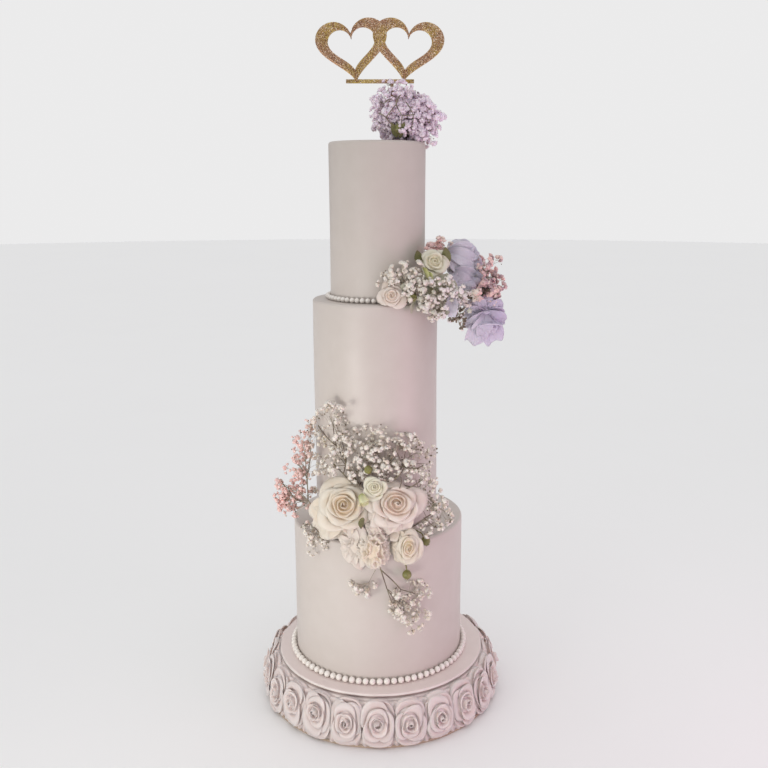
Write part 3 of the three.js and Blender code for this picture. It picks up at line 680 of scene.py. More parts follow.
makeStand()
makeBoard()
for tierRow in tierRows:
    makeTier(tierRow)
    makePearls(tierRow)
print("stand, board, tiers and pearls are made")

# What a head has unless its row says otherwise: rows and columns of a petal, the arc in degrees that a petal
# wraps in the heart and outside, how far the head opens and its rims curl, how much the outer petals drop.
headForm = {"slot": "petal_cream", "petals": 0, "grid": (15, 21), "wrap": (135, 58), "opening": 1.0,
            "curl": 1.0, "drop": 0.55, "bud": 0.05, "turn": 0.0, "thick": 0.9, "core": 0.74, "stretch": 1.0,
            "broad": 0.62, "loose": [], "ruffled": False}
goldenTurn = math.radians(137.5)


# A petal's grid: along it from 0 to 1 by the power 0.85, so closer at the rim, and across it from -1 to 1.
def petalGrid(rows, cols):
    return np.linspace(0, 1, rows)[None, :, None] ** 0.85, np.linspace(-1, 1, cols)[None, None, :]


# The petals' own random numbers: one for each petal at every call of what is returned.
def petalDraws(seed, count):
    rng = np.random.default_rng(seed)
    return lambda low, high: rng.uniform(low, high, (count, 1, 1))


# Petals of a rose head round +Z. Each petal stands round the axis over an arc; along it the radius grows
# from foot to belly as 1 - exp(-t), leans out with t to the 1.6, and rolls over past seven tenths of its
# length, while the height rises with t and falls again in the roll. The petals of the heart lean inwards
# and close it. The sides of a petal end lower than its middle, and the rim is waved and has a peak.
def rosePetals(head):
    count, radius, depth, curl = head["petals"], head["radius"], head["depth"], head["curl"]
    vary = petalDraws(head["seed"], count)
    along, across = petalGrid(*head["grid"])
    order = ((np.arange(count) + 0.5) / count)[:, None, None]
    inner, outer = head["wrap"]
    azimuth = np.arange(count)[:, None, None] * goldenTurn + vary(-0.25, 0.25) + head["turn"]
    halfArc = np.radians(inner + (outer - inner) * order**0.55) * vary(0.9, 1.12)
    foot = radius * (0.03 + 0.10 * order)
    bud = head["bud"] * (1 - order) ** 3
    belly = radius * (0.07 + bud + 0.50 * order**1.05 * head["opening"])
    lean = radius * (-0.04 - 1.3 * bud + 0.30 * order**1.25 * head["opening"])
    roll = radius * (-0.03 + 0.20 * order**0.8) * curl * vary(0.7, 1.3)
    crest = depth * (1 - head["drop"] * order**1.6) * vary(0.94, 1.02)
    fall = depth * (0.02 + 0.34 * order**1.4) * curl * vary(0.6, 1.3)
    short = along * (1 - (0.16 + 0.18 * order) * np.abs(across) ** 2.6)
    over = np.clip((short - 0.70) / 0.30, 0, 1) ** 2
    bell = (1 - np.exp(-short / 0.3)) / (1 - math.exp(-1 / 0.3))
    peak = np.exp(-((across / 0.28) ** 2)) * over * order
    wave = np.sin(2.3 * across * vary(0.7, 1.5) + vary(0, 6.3)) * short**2
    ripple = np.sin(6.5 * across + vary(0, 6.3)) * short**4
    out = foot + (belly - foot) * bell + lean * short**1.6 + roll * over * (1 + 0.35 * across**2)
    out = out + radius * (0.03 * across * short + 0.04 * wave * order + 0.016 * ripple + 0.06 * peak)
    height = crest * short**1.08 - fall * over * (1 + 0.3 * across**2)
    height = height + depth * (0.07 * wave * order + 0.03 * ripple * order - 0.06 * peak)
    sheets = around(out * radius / np.percentile(out, 97), azimuth + across * halfArc, height)
    thin = head["thick"] * (1 - 0.55 * along**6) * (1 - 0.45 * across**8)
    return sheets, thin, joined(across, along, order + vary(-0.07, 0.07))


# Broad loose petals outside a head, one for each row: direction in degrees, reach, droop, and lift in mm.
# The half width is the sine of a stretch of the length, so the rim is round; along the petal it rises as
# a sine and falls with the length to the 2.2, and it is cupped across, creased in the middle and waved.
def loosePetals(head):
    rows = np.array([(*row, 0)[:4] for row in head["loose"]], float)[:, :, None, None]
    turn, reach, droop, lift = np.radians(rows[:, 0]), rows[:, 1], rows[:, 2], rows[:, 3]
    radius, depth = head["radius"], head["depth"]
    vary = petalDraws(head["seed"] + 50, len(rows))
    along, across = petalGrid(16, 21)
    length = reach * radius * along * (1 - 0.05 * np.cos(3.2 * across + vary(0, 6.3)) * along**3)
    half = head["broad"] * radius * np.sin(np.pi * (0.10 + 0.66 * along)) * vary(0.92, 1.1)
    wave = np.sin(3.1 * across + vary(0, 6.3)) * along**2
    crease = np.exp(-((across / 0.12) ** 2)) * (1 - along**3)
    height = depth * (0.42 * np.sin(2.2 * along) - droop * along**2.2 + 0.22 * across**2 * (1 - 0.8 * along))
    folds = np.sin(9 * across + vary(0, 6.3)) * along**3 * 0.022 + np.sin(21 * across) * along**2 * 0.006
    height = height + radius * (0.06 * wave - 0.03 * crease + folds) + lift * np.sin(np.pi * along**0.6)
    thin = 0.75 * (1 - 0.5 * along**6) * (1 - 0.4 * across**8)
    return around(length, turn, height, across * half), thin, joined(across, along, 0.92 + vary(-0.06, 0.06))


# Ruffled petals, as on a carnation: fans from the middle of the head, each with its own direction. The
# width grows with the length to the 0.8, the fan waves up and down more towards its rim, and small teeth
# notch the rim.
def ruffledPetals(head):
    count, radius, depth, ruffle = head["petals"], head["radius"], head["depth"], head["ruffle"]
    vary = petalDraws(head["seed"], count)
    along, across = petalGrid(9, 33)
    order = ((np.arange(count) + 0.5) / count)[:, None, None]
    azimuth = np.arange(count)[:, None, None] * goldenTurn + vary(-0.2, 0.2)
    tilt = np.radians(100) * order ** head["opened"]
    reach = (head["heart"] + (1.04 - head["heart"]) * order) * vary(0.86, 1.06)
    width = head["fan"] * vary(0.8, 1.2)
    teeth = 1 + head["teeth"] * np.sin(15 * across + vary(0, 6.3)) * along**6 - 0.12 * np.abs(across) ** 3
    rise = ruffle * along**1.6 * np.sin(vary(*head["waves"]) * across + vary(0, 6.3))
    rise = rise + 0.25 * ruffle * along**3 * np.sin(12 * across + vary(0, 6.3))
    length, bend = reach * along * teeth, 0.16 * along**2.2
    out = length * np.sin(tilt) - rise * np.cos(tilt) + bend * np.cos(tilt)
    height = length * np.cos(tilt) + rise * np.sin(tilt) - bend * np.sin(tilt)
    sheets = around(radius * out, azimuth, depth * height, radius * width * across * along**0.8)
    return sheets, 0.55 * (1 - 0.5 * along**4), joined(across, along, order + vary(-0.08, 0.08))


# Five pointed tips round +Z. out and rise are a start and a growth along the tip, rise also its power;
# the half width falls to the tip with the power taper.
def pointedTips(size, depth, form):
    along, across = petalGrid(form["rows"], 5)
    out = size * (form["out"][0] + form["out"][1] * along)
    height = depth * (form["rise"][0] + form["rise"][1] * along ** form["rise"][2])
    side = form["wide"] * size * across * (1 - along) ** form["taper"]
    sheets = around(out, turns(5)[:, None, None], height, side)
    return sheets, form["thick"], joined(across, along, form["shade"])


def addPetals(pile, petals, place, stretch=1.0):
    sheets, thin, look = petals
    copies, rows, cols = sheets.shape[:3]
    look = np.broadcast_to(look, sheets.shape).reshape(copies, -1, 3)
    points = place(shellPoints(sheets * [1, stretch, 1], thin))
    addCopies(pile, points, shellFaces(rows, cols), np.concatenate([look, look], 1))


# The closed core under the petals of a rose, up to which its gaps reach: a dome that falls with the radius
# to the 1.5.
def addCore(pile, head, place):
    radius, depth, crown = head["radius"], head["depth"], head["core"]
    share = np.linspace(0.86, 0.05, 12)[:, None]
    height = depth * (crown - 0.62 * share**1.5)
    dome, faces = turnedShape(radius * share, height, 28, -0.02 * depth, crown * depth)
    shade = np.append(np.repeat(share, 28), [0.5, 0.0])
    along = np.append(np.full(len(shade) - 2, 0.55), [0.5, 0.5])
    addCopies(pile, place(dome * [1, head["stretch"], 1])[None], faces, joined(0, along, shade))


wreath = {"count": 24, "height": 38.5, "halfWidth": 27.6, "halfLength": 37.6, "depth": 25, "lean": 12,
          "wall": 183.2, "edge": 0.88, "soft": 0.12, "pad": 13, "padFloor": 0.4, "seeds": (100, 300)}
gathers = {"low": 3.5, "high": 69.0, "steps": 864, "rows": 9, "folds": 96, "deep": 1.9, "proud": 6.0,
           "inside": 0.8}


# Fills the corners of a rose: from an oval in the heart to a rounded oblong of the power 2.9 at the edge.
def squared(points, halfWidth, halfLength):
    angle = np.arctan2(points[..., 1], points[..., 0])
    cosine, sine = np.abs(np.cos(angle)), np.abs(np.sin(angle))

    def reach(power, length):
        return ((cosine / halfWidth) ** power + (sine / length) ** power) ** (-1 / power)

    outer = np.clip(np.hypot(points[..., 0], points[..., 1]), 0, 1) ** 2
    grow = reach(2.0, 0.86 * halfLength) * (1 - outer) + reach(2.9, halfLength) * outer
    return points * joined(grow, grow, 1.0)


# The wreath: roses of radius 1 pressed together at their edges, squared to their field, and set on the
# leaning wall, each on a closed pad.
def makeWreath():
    lean = math.radians(wreath["lean"])
    field = (wreath["halfWidth"], wreath["halfLength"])
    lift = np.radians(np.linspace(0, 80, 6))[:, None]
    padHeight = wreath["pad"] * np.sin(lift) + wreath["padFloor"]
    pad, padFaces = turnedShape(0.97 * np.cos(lift), padHeight, 32, wreath["padFloor"],
                                wreath["padFloor"] + wreath["pad"])
    for i in range(wreath["count"]):
        rng = np.random.default_rng(wreath["seeds"][0] + i)
        head = {**headForm, "seed": wreath["seeds"][1] + i, "petals": 11 + i % 3, "radius": 1.0,
                "depth": wreath["depth"], "wrap": (150, 60), "opening": 1.0 + rng.uniform(-0.12, 0.12),
                "curl": 1.1, "drop": 0.45, "thick": 1.2, "bud": rng.uniform(0.05, 0.18),
                "turn": rng.uniform(0, 6.28), "grid": (15, 25)}
        sheets, thin, look = rosePetals(head)
        away = np.hypot(sheets[..., :1], sheets[..., 1:2])
        edge, soft = wreath["edge"] + rng.uniform(-0.07, 0.0, (len(sheets), 1, 1, 1)), wreath["soft"]
        kept = np.minimum(away, edge) + soft * np.tanh(np.maximum(away - edge, 0) / soft)
        sheets[..., :2] *= kept / away
        sheets[..., :2] += rng.uniform(-0.16, 0.16, 2) * (1 - kept)
        sheets = squared(sheets, *field)
        sheets[..., 2] = np.maximum(sheets[..., 2], 0.6)
        angle = 2 * math.pi * i / wreath["count"]
        out = around(math.cos(lean), angle, math.sin(lean))
        up = around(-math.sin(lean), angle, math.cos(lean))
        axes = np.stack([np.cross(up, out), up, out])
        base = around(wreath["wall"], angle, wreath["height"])
        pile = newPile()
        addPetals(pile, (sheets, thin, look), lambda points: points @ axes + base)
        addCopies(pile, (squared(pad, *field) @ axes + base)[None], padFaces, np.array([0.0, 0.1, 0.9]))
        number = f"{i + 1:02d}"
        makePiece("satin_rose_" + number, pile, "satinRose", "stand_rose", "stand_rose_" + number)


# Gathered satin behind the roses: a band round the sloping wall whose folds are sines of the angle.
def makeGathers():
    turn = turns(gathers["steps"])[:, None]
    lift = np.linspace(gathers["low"], gathers["high"], gathers["rows"])[None, :]
    wall = stand["skirt"] + (stand["top"] - stand["skirt"]) * lift / stand["height"]
    fold = np.sin(gathers["folds"] * turn + 1.4 * np.sin(5 * turn) + lift / 16)
    fold = gathers["deep"] * (fold + 0.45 * np.sin(41 * turn - lift / 11))
    inner = (wall - gathers["inside"] + 0 * turn)[:, ::-1]
    out = np.concatenate([wall + gathers["proud"] + fold, inner], 1)
    band = around(out, turn, np.concatenate([lift, lift[:, ::-1]], 1)).reshape(1, -1, 3)
    pile = newPile()
    # The band's look gives it mostly the satin's pale foot tone, painted light against the shade between the
    # roses.
    addCopies(pile, band, ringFaces(gathers["steps"], 2 * gathers["rows"]), np.array([0.0, 0.2, 0.9]))
    makePiece("satin_gathers", pile, "satinRose", "stand_rose", "stand_base")


makeWreath()
makeGathers()
print("wreath is made")

# Heads of flowers: at and face are the foot's place and the direction it looks in; loose rows are the
# broad outer petals; a head with "of" is a part of another flower. stem runs on from the head's foot.
carnation = dict(petals=30, slot="petal_white", ruffled=True, opened=0.5)
lilac = dict(finish="lilac", slot="petal_lilac")
lilacCup = dict(lilac, petals=9, wrap=(130, 80), drop=0.2, curl=0.5, bud=0.2)
lilacFold = dict(lilac, depth=14, broad=0.5)
flowerRows = [
    dict(name="rose_front_left", at=(-50, -136, 375), face=(-0.02, -0.9, 0.42), radius=37, depth=34,
         petals=20, finish="cream", seed=3, turn=0.6, stretch=0.94,
         loose=[(160, 1.25, 0.55), (196, 1.5, 0.85), (226, 1.6, 0.95), (258, 1.45, 0.8), (300, 1.25, 0.5),
                (110, 1.05, 0.45), (335, 1.1, 0.5)],
         stem=[(-44, -118, 370), (-38, -98, 360)]),
    dict(name="rose_front_right", at=(25, -141, 379), face=(0.2, -0.87, 0.44), radius=36.5, depth=34,
         petals=17, finish="blush", slot="petal_blush", seed=7, turn=2.0, opening=1.05, bud=0.12,
         stretch=0.88,
         loose=[(-40, 1.12, 0.5), (200, 1.3, 0.6), (250, 1.35, 0.6), (290, 1.3, 0.5), (15, 1.0, 0.5),
                (160, 1.1, 0.5)],
         stem=[(22, -120, 374), (16, -100, 364)]),
    dict(name="rose_front_small", at=(-4, -149, 408), face=(-0.02, -0.86, 0.5), radius=16.5, depth=17,
         petals=13, finish="greenRose", seed=5, turn=1.0, stretch=0.92,
         stem=[(-4, -140, 404), (-4, -101, 392)]),
    dict(name="rose_front_spray", at=(47, -154, 318), face=(0.1, -0.96, 0.1), radius=17.2, depth=18,
         petals=14, finish="cream", seed=11, stretch=1.42, curl=1.2,
         loose=[(118, 1.3, 0.6), (160, 1.45, 0.8), (205, 1.5, 0.9), (240, 1.2, 0.5)],
         stem=[(47, -145, 318), (38, -128, 325)]),
    dict(carnation, name="carnation_front", at=(-5, -156, 312), face=(0, -0.96, -0.1), radius=27, depth=24,
         petals=40, finish="white", seed=13, stretch=1.25, core=0.5, fan=0.42, opened=0.52, heart=0.72,
         teeth=0.03, ruffle=0.12, waves=(2.6, 5.0), stem=[(-4, -152, 322), (-3, -124, 332)]),
    dict(carnation, name="carnation_front_tuft", of="carnation_front", at=(-3, -152, 346),
         face=(0.05, -0.9, 0.3), radius=17, depth=16, petals=14, finish="bloom", seed=14, core=0.5,
         fan=0.62, heart=0.7, teeth=0.01, ruffle=0.16, waves=(1.8, 3.4),
         stem=[(-3, -146, 341), (-3, -124, 336)]),
    dict(carnation, name="bloom_front_white", at=(-33, -149, 317), face=(-0.2, -0.95, -0.1), radius=26,
         depth=19, finish="bloom", seed=17, stretch=1.35, core=0.4, fan=0.46, heart=0.5, teeth=0.0,
         ruffle=0.11, waves=(2.2, 4.4),
         loose=[(250, 1.1, 0.5), (285, 1.15, 0.5), (215, 1.0, 0.4), (180, 0.95, 0.3), (60, 1.1, 0.3),
                (100, 0.95, 0.3)],
         stem=[(-40, -145, 322), (-38, -122, 330)]),
    dict(name="rose_side_cream", at=(22, -92, 694), face=(0.02, -0.93, 0.25), radius=18.5, depth=15,
         petals=12, finish="blush", seed=19, turn=0.4, curl=1.3, stem=[(22, -86, 692), (26, -80, 688)]),
    dict(name="rose_side_green", at=(84, -62, 739), face=(0.22, -0.86, 0.42), radius=20, depth=22, petals=11,
         finish="greenRose", seed=23, turn=1.7, opening=0.75, drop=0.35,
         loose=[(250, 1.15, 0.5), (300, 1.1, 0.4), (110, 1.05, 0.3)],
         stem=[(80, -52, 732), (72, -44, 700)]),
    dict(lilac, name="bloom_side_upper", at=(132, -28, 745), face=(0.12, -0.95, 0.25), radius=30, depth=17,
         seed=29, broad=0.6,
         loose=[(5, 0.92, 0.6, -4), (330, 1.0, 0.6, -4), (180, 0.8, 0.5, -4), (215, 0.95, 0.5, -3),
                (34, 0.84, 0.5, -3), (150, 0.9, 0.5, -3), (112, 1.08, 0.5, -2), (78, 0.92, 0.5, -1),
                (290, 1.0, 0.4, -1), (250, 1.0, 0.4, 0), (132, 0.86, 0.3, 3), (56, 0.7, 0.3, 4),
                (100, 0.85, 0.2, 7)],
         stem=[(118, -20, 722), (82, -22, 690)]),
    dict(lilacCup, name="bloom_side_upper_cup", of="bloom_side_upper", at=(130, -18, 731),
         face=(-0.05, 0.25, 0.96), radius=22, depth=42, seed=30, stem=[(118, -16, 720), (82, -22, 690)]),
    dict(lilacFold, name="bloom_side_upper_fold", of="bloom_side_upper", at=(107, -38, 757),
         face=(0.12, -0.95, 0.25), radius=30, seed=33,
         loose=[(10, 1.45, 0.4, 1), (-14, 1.6, 0.4, 4), (-42, 1.4, 0.4, 1)],
         stem=[(110, -24, 748), (82, -22, 690)]),
    dict(lilac, name="bloom_side_middle", at=(138, -38, 717), face=(0.2, -0.96, 0.1), radius=27, depth=17,
         seed=31,
         loose=[(75, 1.05, 0.6, -3), (115, 1.0, 0.6, -3), (35, 0.95, 0.6, -4), (180, 0.9, 0.5, -4),
                (0, 0.95, 0.5, -3), (145, 0.85, 0.5, -3), (213, 1.05, 0.5, -3), (320, 1.0, 0.5, -2),
                (250, 1.1, 0.5, -1), (285, 1.1, 0.5, -1), (230, 0.86, 0.3, 4), (305, 0.84, 0.3, 4),
                (268, 0.8, 0.2, 7)],
         stem=[(124, -26, 704), (88, -28, 688)]),
    dict(lilacCup, name="bloom_side_middle_cup", of="bloom_side_middle", at=(142, -26, 706),
         face=(0.7, 0.1, 0.5), radius=21, depth=34, seed=32, stem=[(128, -24, 700), (88, -28, 688)]),
    dict(lilacFold, name="bloom_side_middle_fold", of="bloom_side_middle", at=(115, -46, 728),
         face=(0.2, -0.96, 0.1), radius=27, seed=34,
         loose=[(-6, 1.5, 0.4, 2), (-34, 1.5, 0.4, 4), (-62, 1.2, 0.4, 1)],
         stem=[(112, -30, 716), (88, -28, 688)]),
    dict(lilac, name="bloom_side_lower", at=(167, -40, 664), face=(0.2, -0.94, -0.2), radius=38, depth=26,
         seed=37, broad=0.48,
         loose=[(212, 0.8, 0.6, -4), (322, 1.1, 0.6, -4), (186, 0.8, 0.5, -4), (350, 0.9, 0.5, -4),
                (24, 0.85, 0.5, -4), (155, 0.8, 0.5, -4), (90, 0.6, 0.4, -5), (125, 0.65, 0.4, -5),
                (242, 1.0, 0.5, -5), (266, 1.5, 0.5, -2), (305, 1.56, 0.5, -2), (332, 1.0, 0.35, 3),
                (288, 1.1, 0.3, 4), (242, 0.8, 0.3, 5), (266, 0.9, 0.2, 8)],
         stem=[(150, -22, 682), (92, -18, 690)]),
    dict(lilac, name="bloom_side_lower_cup", of="bloom_side_lower", at=(166, -24, 672),
         face=(0.1, -0.1, -0.98), radius=27, depth=44, petals=10, seed=38, wrap=(130, 66), drop=0.12,
         curl=0.7, stem=[(150, -18, 684), (92, -18, 690)]),
]
flowers = [{**headForm, "of": row["name"], **row} for row in flowerRows]
# The calyx: its cup's profile in shares of the head's radius and depth, and its five sepals.
calyxCup = np.array([[0, -0.62], [0.10, -0.60], [0.20, -0.44], [0.34, -0.2], [0.40, 0.02], [0.2, 0.06],
                     [0, 0.06]])
sepals = {"rows": 8, "out": (0.22, 0.62), "rise": (-0.42, 0.45, 1.3), "wide": 0.13, "taper": 0.7,
          "thick": 0.7, "shade": 0.5}
greenPile = newPile()


def addFlowerStem(pile, points, thick):
    points = np.array(points, float)
    starts, ends = points[:-1], points[1:]
    addStems(pile, starts, (starts + ends) / 2, ends, (thick, thick), sides=8)


# A flower: its loose and its standing petals over a core, the green calyx under them, and its stem.
def makeFlower(head):
    place = placer(head["at"], head["face"])
    pile = newPile()
    if head["loose"]:
        addPetals(pile, loosePetals(head), place, head["stretch"])
    if head["petals"]:
        petals = ruffledPetals(head) if head["ruffled"] else rosePetals(head)
        addPetals(pile, petals, place, head["stretch"])
        addCore(pile, head, place)
        size = [head["radius"], head["depth"]]
        profile = calyxCup * size
        cup, faces = turnedShape(profile[1:-1, :1], profile[1:-1, 1:], 16, profile[0, 1], profile[-1, 1])
        addCopies(greenPile, place(cup)[None], faces, np.array([0, 0.4, 0.5]))
        addPetals(greenPile, pointedTips(*size, sepals), place, head["stretch"])
    makePiece(head["name"] + "_petals", pile, head["finish"], head["slot"], head["of"])
    addFlowerStem(greenPile, [head["at"], *head["stem"]], 1.3)


for flower in flowers:
    makeFlower(flower)
makePiece("flower_stems", greenPile, "stem", "green")
print("roses and blooms are made")

crown = {"rows": 6, "out": (0.12, 0.34), "rise": (0.93, 0.22, 2), "wide": 0.2, "taper": 0.6, "thick": 0.5,
         "shade": 0.2}
berries = [
    dict(name="bud_front_olive", at=(-14, -136, 434), size=6.5, stem=[(-12, -120, 428), (-10, -101, 420)]),
    dict(name="bud_front_right", at=(74, -134, 318), size=7.2, stem=[(68, -128, 328), (52, -120, 334)]),
    dict(name="bud_front_low", at=(45, -147, 268), size=7.2, stem=[(44, -148, 282), (36, -146, 300)]),
    dict(name="bud_side_olive", of="gypsophila_side_left", at=(54, -98, 693), size=6.2,
         stem=[(53, -90, 690), (52, -84, 686)]),
    dict(name="bud_top", at=(33, -42, 943), size=8, stem=[(34, -38, 936), (36, -32, 925.6)]),
]
yellowBud = dict(headForm, name="bud_front_yellow", at=(-20, -165, 396), face=(5, -6, -8), radius=8,
                 depth=19, petals=8, seed=43, opening=0.35, curl=0.3, drop=0.1, bud=0.2, wrap=(130, 90),
                 grid=(12, 15), thick=0.7, stem=[(-18, -140, 390), (-14, -103, 384)])
leaves = [
    dict(name="leaf_front", at=(-21, -168, 369), face=(-0.25, -0.1, -0.93), length=17, width=12),
    dict(name="leaf_side_left", at=(65, -66, 740), face=(-0.2, -0.14, 0.96), length=23, width=12.5),
    dict(name="leaf_side_right", at=(107, -60, 740), face=(-0.12, -0.2, 0.97), length=28, width=14),
    dict(name="sepal_side_long", of="rose_side_green", at=(69, -84, 737), face=(0.52, -0.25, -0.82),
         length=24, width=10, finish="yellowBud"),
    dict(name="sepal_side_short", of="rose_side_green", at=(76, -86, 730), face=(0.6, -0.25, -0.76),
         length=16, width=9, finish="yellowBud"),
    dict(name="leaf_side_dark", of="leaf_side_left", at=(82, -86, 717), face=(0.05, -0.1, -0.97), length=18,
         width=7),
    dict(name="petal_side_fallen", of="bloom_side_middle", at=(114, -80, 695), face=(-0.02, -0.2, -0.95),
         length=34, width=19, finish="lilac", blunt=0.5),
    dict(name="petal_front_peach", of="rose_front_spray", at=(27, -146, 348), face=(-0.1, -0.55, -0.83),
         length=24, width=18, finish="blush", blunt=0.5),
    dict(name="leaf_top_left", of="bud_top", at=(30, -40, 930), face=(-0.3, -0.45, 0.8), length=27, width=9),
    dict(name="leaf_top_right", of="bud_top", at=(34, -40, 930), face=(0.25, -0.5, 0.8), length=28, width=9),
]
# Grey-green leaves behind the side gypsophila: each fork with the leaves' tips, and the leaves' measures
# in shares of the way from fork to tip.
fillerForks = {
    (84, -80, 696): [(72, -80, 726), (91, -80, 720), (108, -76, 724), (110, -78, 700), (118, -74, 712),
                     (94, -82, 668), (108, -80, 668), (74, -88, 668), (62, -88, 708), (120, -76, 686)],
    (60, -88, 690): [(50, -94, 670), (38, -94, 712)],
    (110, -64, 706): [(126, -66, 690)],
}
filler = {"start": 0.1, "length": 0.95, "width": 0.55, "blunt": 0.3}


# A round bud: a ball with five soft ribs, a small crown of points at its tip, and a short stem.
def makeBerry(berry):
    size = berry["size"]
    place = placer(berry["at"], np.subtract(berry["at"], berry["stem"][0]))
    lift = np.radians(np.linspace(-80, 74, 12))[:, None]
    out = size * np.cos(lift) * (1 + 0.035 * np.cos(5 * turns(30)))
    ball, faces = turnedShape(out, 1.04 * size * np.sin(lift), 30, -1.04 * size, 0.9 * size)
    pile = newPile()
    addCopies(pile, place(ball)[None], faces, np.array([0, 0.6, 0.5]))
    addPetals(pile, pointedTips(size, size, crown), place)
    addFlowerStem(pile, [berry["at"], *berry["stem"]], 1.0)
    makePiece(berry["name"] + "_round", pile, "berry", "green", berry.get("of", berry["name"]))


# A leaf along +Z: its half width follows the sine of the length to the 0.8, it folds at the rib, bends over
# its length, and its edge is waved and finely toothed. Blunt leaves keep some width at both ends.
def addLeaf(pile, leaf):
    along, across = np.linspace(0, 1, 26)[None, :, None], np.linspace(-1, 1, 15)[None, None, :]
    width, length, blunt, aside = leaf["width"], leaf["length"], leaf.get("blunt", 0.0), np.abs(across)
    half = 0.35 + width / 2 * np.sin(np.pi * (0.1 * blunt + (1 - 0.4 * blunt) * along**0.8)) ** 0.8
    half = half * (1 + 0.05 * np.sin(46 * along) * aside**4)
    bend = 0.12 * length * along**2
    fold = 0.22 * aside * half + 0.035 * width * np.sin(9 * along + 2 * across) * aside
    ribs = 0.25 * np.cos(34 * (along - 0.22 * aside)) * aside * (1 - aside)
    sheets = placer(leaf["at"], leaf["face"])(joined(across * half, fold - bend + ribs, length * along))
    petals = (sheets, 0.7 * (1 - 0.6 * aside**4), joined(across, along, 0.5))
    addPetals(pile, petals, lambda points: points)


# The yellow-green bud in front: a slim closed rose that is centred on its place.
def makeYellowBud(head):
    base = np.array(head["at"]) - 0.5 * head["depth"] * unit(np.array(head["face"], float))
    pile = newPile()
    addPetals(pile, rosePetals(head), placer(base, head["face"]))
    addFlowerStem(pile, [base, *head["stem"]], 1.1)
    makePiece(head["name"] + "_petals", pile, "yellowBud", "green", head["name"])


for berryRow in berries:
    makeBerry(berryRow)
makeYellowBud(yellowBud)
for leafRow in leaves:
    leafPile = newPile()
    addLeaf(leafPile, leafRow)
    makePiece(leafRow["name"] + "_blade", leafPile, leafRow.get("finish", "leaf"), "green",
              leafRow.get("of", leafRow["name"]))
fillerPile = newPile()
for start, tips in fillerForks.items():
    for span in np.subtract(tips, start):
        reach = float(np.linalg.norm(span))
        addLeaf(fillerPile, {"at": start + filler["start"] * span, "face": span, "blunt": filler["blunt"],
                             "length": filler["length"] * reach, "width": filler["width"] * reach})
makePiece("filler_leaves", fillerPile, "sage", "green", "gypsophila_side_left")
print("buds and leaves are made")

# Gypsophila. What a branch has unless its row says otherwise: twigs for each mm of reach, pedicels for each
# twig, how far the twigs spread, the share of open florets, sizes, half thicknesses, and the shades of
# branch, twig and pedicel.
growth = {
    "twigs": 0.6, "pedicels": 5, "spread": 1.5, "share": 0.8, "pedicelLength": (0.4, 0.85),
    "longestReach": 14, "branchEnd": 0.86, "thick": 1.0, "stemThick": (1.1, 0.85), "branchThick": (0.7, 0.42),
    "twigThick": (0.3, 0.22), "pedicelThick": (0.17, 0.13), "floret": (2.4, 5.4), "bud": (0.8, 1.45),
    "bloomSize": 1.0, "budSize": 1.0, "shades": (0.22, 0.78, 1.0), "stemDarker": 0.17,
}
